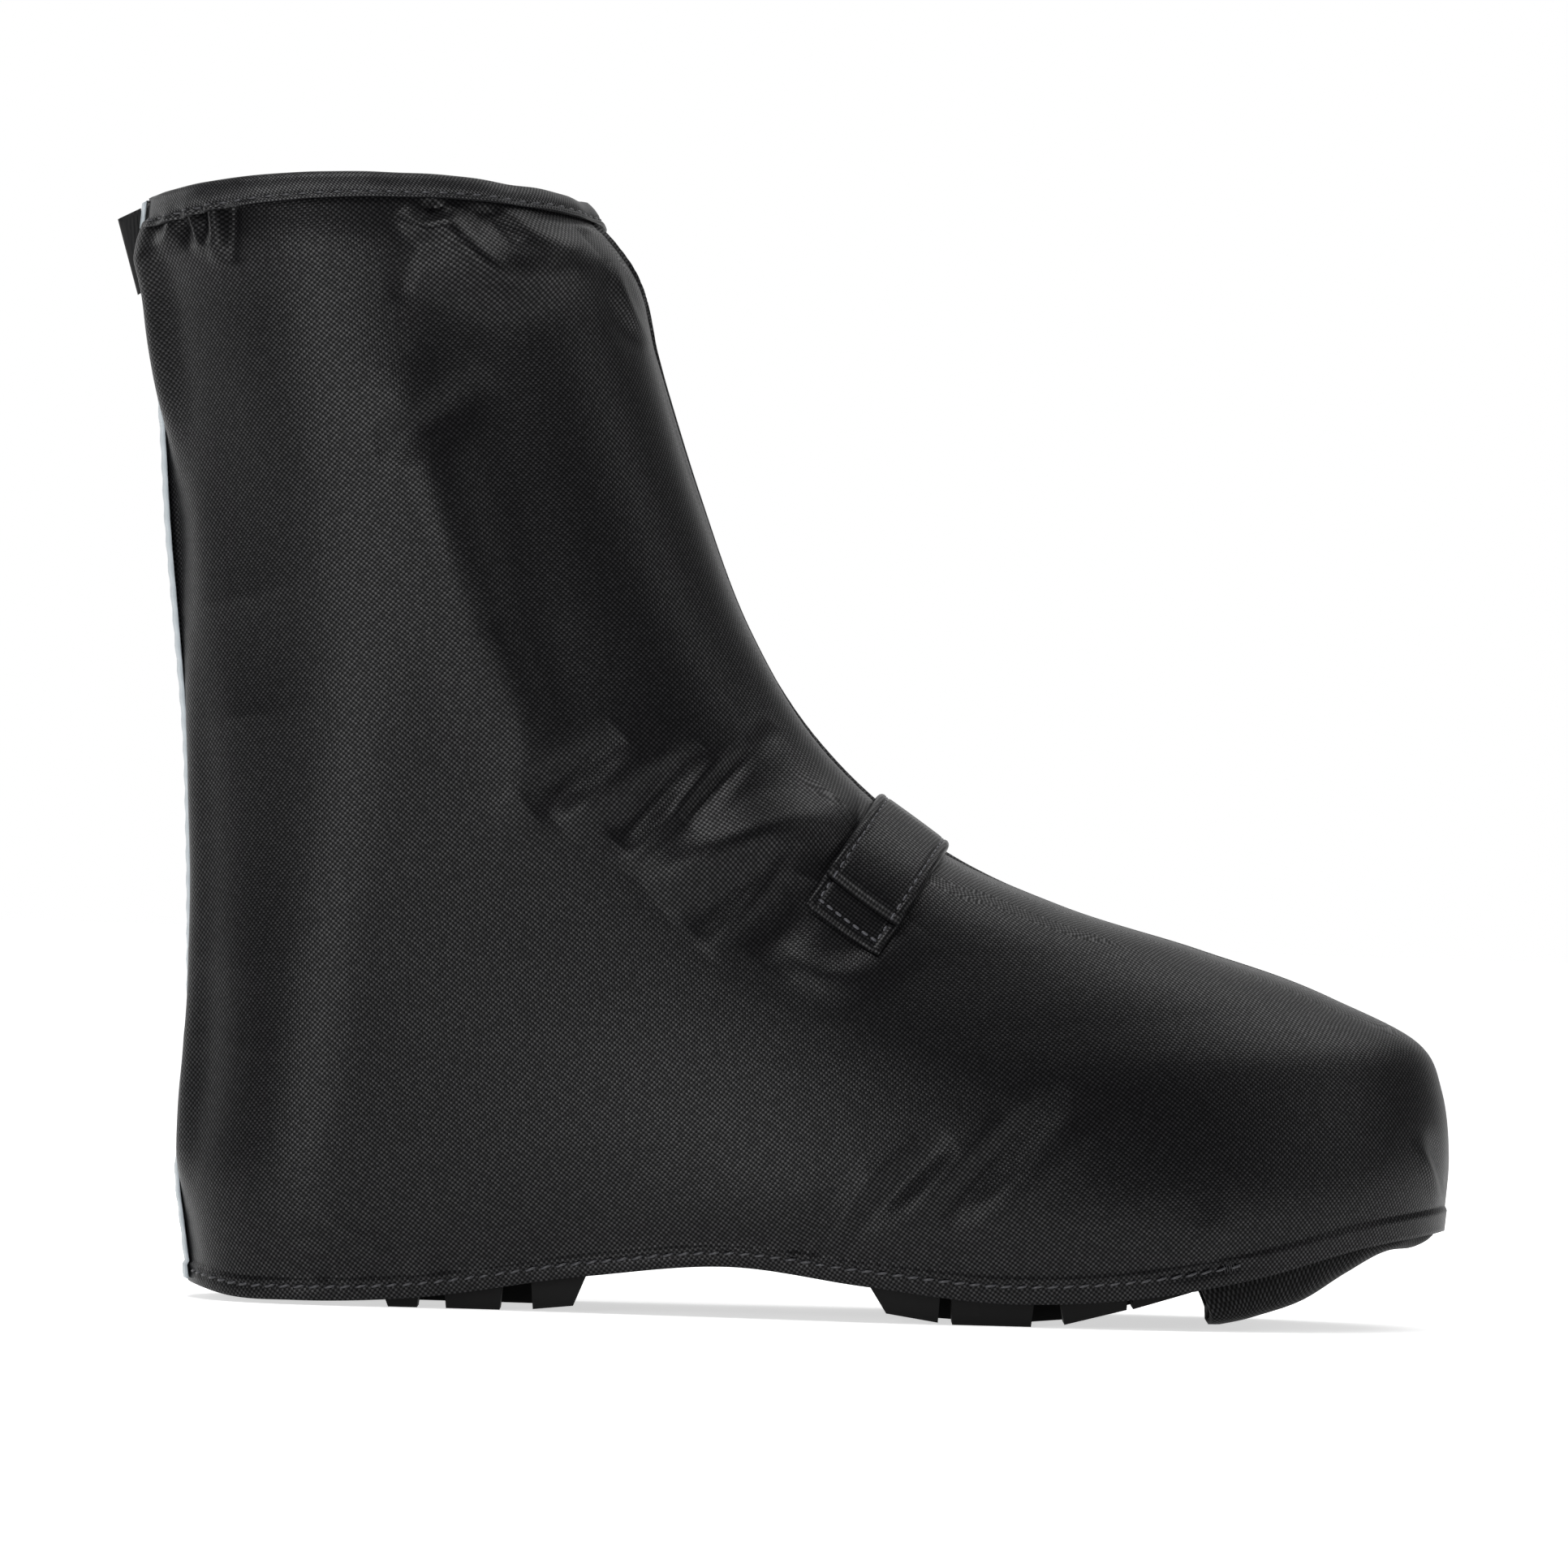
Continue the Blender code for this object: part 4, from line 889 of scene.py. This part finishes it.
def build_toe_pocket():
    """Cloth cup under the toe, pleated where it turns up into the hem."""
    fine = np.linspace(0.0, 0.25, 501)
    rear = float(np.interp(-POCKET_REAR, -skin(fine, 0.0)[:, 0], fine))
    toe = np.linspace(-rear, rear, 121)
    tuck = WALL + GAP + 0.1
    rim = side_ring(toe, lambda x: along(HEM, "z", x) + POCKET_RIM, tuck)
    spot, out, _ = frame_at(toe, 0.0)
    mouth = spot - out * tuck
    heading = np.gradient(mouth[:, :2], axis=0)
    inward = unit(np.stack([heading[:, 1], -heading[:, 0]], axis=-1))
    way = np.cumsum(np.linalg.norm(np.diff(mouth, axis=0, prepend=mouth[:1]), axis=1))
    pleat = 0.5 * np.sin(way / 3.1) * np.sin(way / 13.0) * ease((mouth[:, 0] - 268.0) / 20.0)
    sheets = []
    for extra in (0.0, POCKET_THICK):
        top = rim.copy()
        top[:, :2] += inward * extra
        sheet = [top]
        for t in np.linspace(0, 1, 13):
            row = mouth.copy()
            row[:, :2] += inward * (8.0 * t ** 3.2 + extra + pleat * math.sin(math.pi * t))[:, None]
            floor = along(POCKET, "z", row[:, 0]) + extra
            row[:, 2] += (floor - mouth[:, 2]) * (1 - (1 - t) ** 1.9)
            near_rear = np.exp(-((mouth[:, 0] - POCKET_REAR) / 12.0) ** 2)
            row[:, 0] += POCKET_LEAN * (mouth[:, 2] - row[:, 2]) * near_rear
            sheet.append(row)
        last = sheet[-1]
        for t in (0.25, 0.5, 0.75, 1.0):
            sheet.append(last + (0.5 * (last + last[::-1]) - last) * t)
        sheets.append(np.array(sheet))
    rows, cols = sheets[0].shape[:2]
    count = rows * cols
    points = np.concatenate([sheet.reshape(-1, 3) for sheet in sheets])
    faces = grid_faces(rows, cols) + grid_faces(rows, cols, start=count)
    edge = [(rows - 1 - i) * cols for i in range(rows)] + list(range(1, cols))
    edge += [i * cols + cols - 1 for i in range(1, rows)]
    faces += [(a, b, b + count, a + count) for a, b in zip(edge, edge[1:])]
    middle = sheets[0][:, cols // 4]
    deep = np.cumsum(np.linalg.norm(np.diff(middle, axis=0, prepend=middle[:1]), axis=1))
    uv = np.stack([np.tile(way, rows), np.repeat(deep, cols)], axis=-1)
    # The toe cup takes the duller copy of the cloth, which stands in for shade under the toe.
    pocket = make_mesh("toe_pocket_cloth", points, faces, oxford_in_shade, np.concatenate([uv, uv]))
    work = bmesh.new()
    work.from_mesh(pocket.data)
    bmesh.ops.remove_doubles(work, verts=work.verts, dist=0.00005)
    bmesh.ops.recalc_face_normals(work, faces=work.faces)
    work.to_mesh(pocket.data)
    work.free()
    return show(pocket, "oxford_cloth", "toe_pocket")


def build_outsole():
    """The construction sole itself, its edges softened."""
    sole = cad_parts["outsole"]
    sole.data.materials.clear()
    sole.data.materials.append(rubber)
    soft = sole.modifiers.new("soft_edges", "BEVEL")
    soft.width = 0.0006
    soft.segments = 2
    soft.limit_method = "ANGLE"
    soft.angle_limit = math.radians(30)


def build_stage():
    """White floor that glows by itself, softboxes, bright surroundings behind the shoe and the camera of the
    photograph.
    """
    # Floor that glows by itself, though it is no lamp: the glow is weaker near the shoe and full away from
    # it, so the floor stays white out to the horizon and the shoe's shadow on it stays faint; the glow also
    # lights the shoe from below.
    white, tree, shader = surface("glowing_floor", Base_Color=linear("#f4f4f4"), Roughness=0.9,
                                  Specular_IOR_Level=0.0, Emission_Color=(1.0, 1.0, 1.0, 1.0))
    place = add(tree, "ShaderNodeTexCoord")
    away = add(tree, "ShaderNodeVectorMath", {0: place.outputs["Object"]}, operation="LENGTH")
    glow = add(tree, "ShaderNodeMapRange", {"Value": away.outputs["Value"], "From Min": 0.25, "From Max": 1.0,
                                            "To Min": 0.62, "To Max": 1.0}, interpolation_type="SMOOTHSTEP")
    tree.links.new(glow.outputs[0], shader.inputs["Emission Strength"])
    mesh = bpy.data.meshes.new("floor")
    mesh.from_pydata([(-6, -4, 0), (6, -4, 0), (6, 8, 0), (-6, 8, 0)], [], [(0, 1, 2, 3)])
    mesh.materials.append(white)
    floor = bpy.data.objects.new("floor", mesh)
    bpy.context.scene.collection.objects.link(floor)

    world = bpy.data.worlds.new("studio")
    bpy.context.scene.world = world
    world.use_nodes = True
    tree = world.node_tree
    toward = add(tree, "ShaderNodeTexCoord")
    parts = add(tree, "ShaderNodeSeparateXYZ", {0: toward.outputs["Generated"]})
    behind = add(tree, "ShaderNodeMapRange", {"Value": parts.outputs["Y"], "From Min": 0.7, "From Max": 0.95,
                                              "To Min": 0.1, "To Max": 1.0}, interpolation_type="SMOOTHSTEP")
    tree.links.new(behind.outputs[0], tree.nodes["Background"].inputs["Strength"])
    tree.nodes["Background"].inputs["Color"].default_value = (1.0, 1.0, 1.0, 1.0)

    Lamp = namedtuple("Lamp", "name place size power")
    for lamp in (Lamp("overhead", (0.15, 0.8, 1.0), (1.2, 0.6), 1.9),
                 Lamp("over_heel", (-0.4, -0.45, 1.6), (0.8, 0.8), 12.0),
                 Lamp("over_toe", (0.65, 0.25, 1.2), (0.8, 0.8), 4.6),
                 Lamp("rim", (1.3, 0.8, 0.8), (0.6, 0.8), 0.3),
                 Lamp("back", (-1.3, 0.8, 0.6), (0.6, 0.8), 4.0),
                 Lamp("front", (-0.75, -1.55, 0.3), (0.6, 0.7), 8.8),
                 Lamp("side", (1.5, -0.5, 0.8), (0.6, 0.8), 3.2)):
        light = bpy.data.lights.new(lamp.name, "AREA")
        light.shape = "RECTANGLE"
        light.size, light.size_y = lamp.size
        light.energy = lamp.power
        box = bpy.data.objects.new(lamp.name, light)
        box.location = lamp.place
        aim = Vector((0.0, 0.0, 0.12)) - Vector(lamp.place)
        box.rotation_euler = aim.to_track_quat("-Z", "Y").to_euler()
        bpy.context.scene.collection.objects.link(box)

    distance, wide = 3.4, 1932 * 0.000195
    camera = bpy.data.cameras.new("camera")
    camera.sensor_width = 36.0
    camera.lens = 36.0 * distance / wide
    view = bpy.data.objects.new("camera", camera)
    view.location = (0.0006, -distance, 0.1270)
    level_view = Matrix.Rotation(math.radians(90), 3, "X")
    view.rotation_euler = (level_view @ Matrix.Rotation(math.radians(1.6), 3, "Z")).to_euler()
    bpy.context.scene.collection.objects.link(view)
    bpy.context.scene.camera = view
    bpy.context.scene.view_settings.view_transform = "Standard"


upper_cloth = build_upper()
hem_rows = build_hem_stitches()
binding = build_binding()
build_strip()
build_pull_loop()
build_strap()
pocket_cloth = build_toe_pocket()
build_outsole()
build_stage()
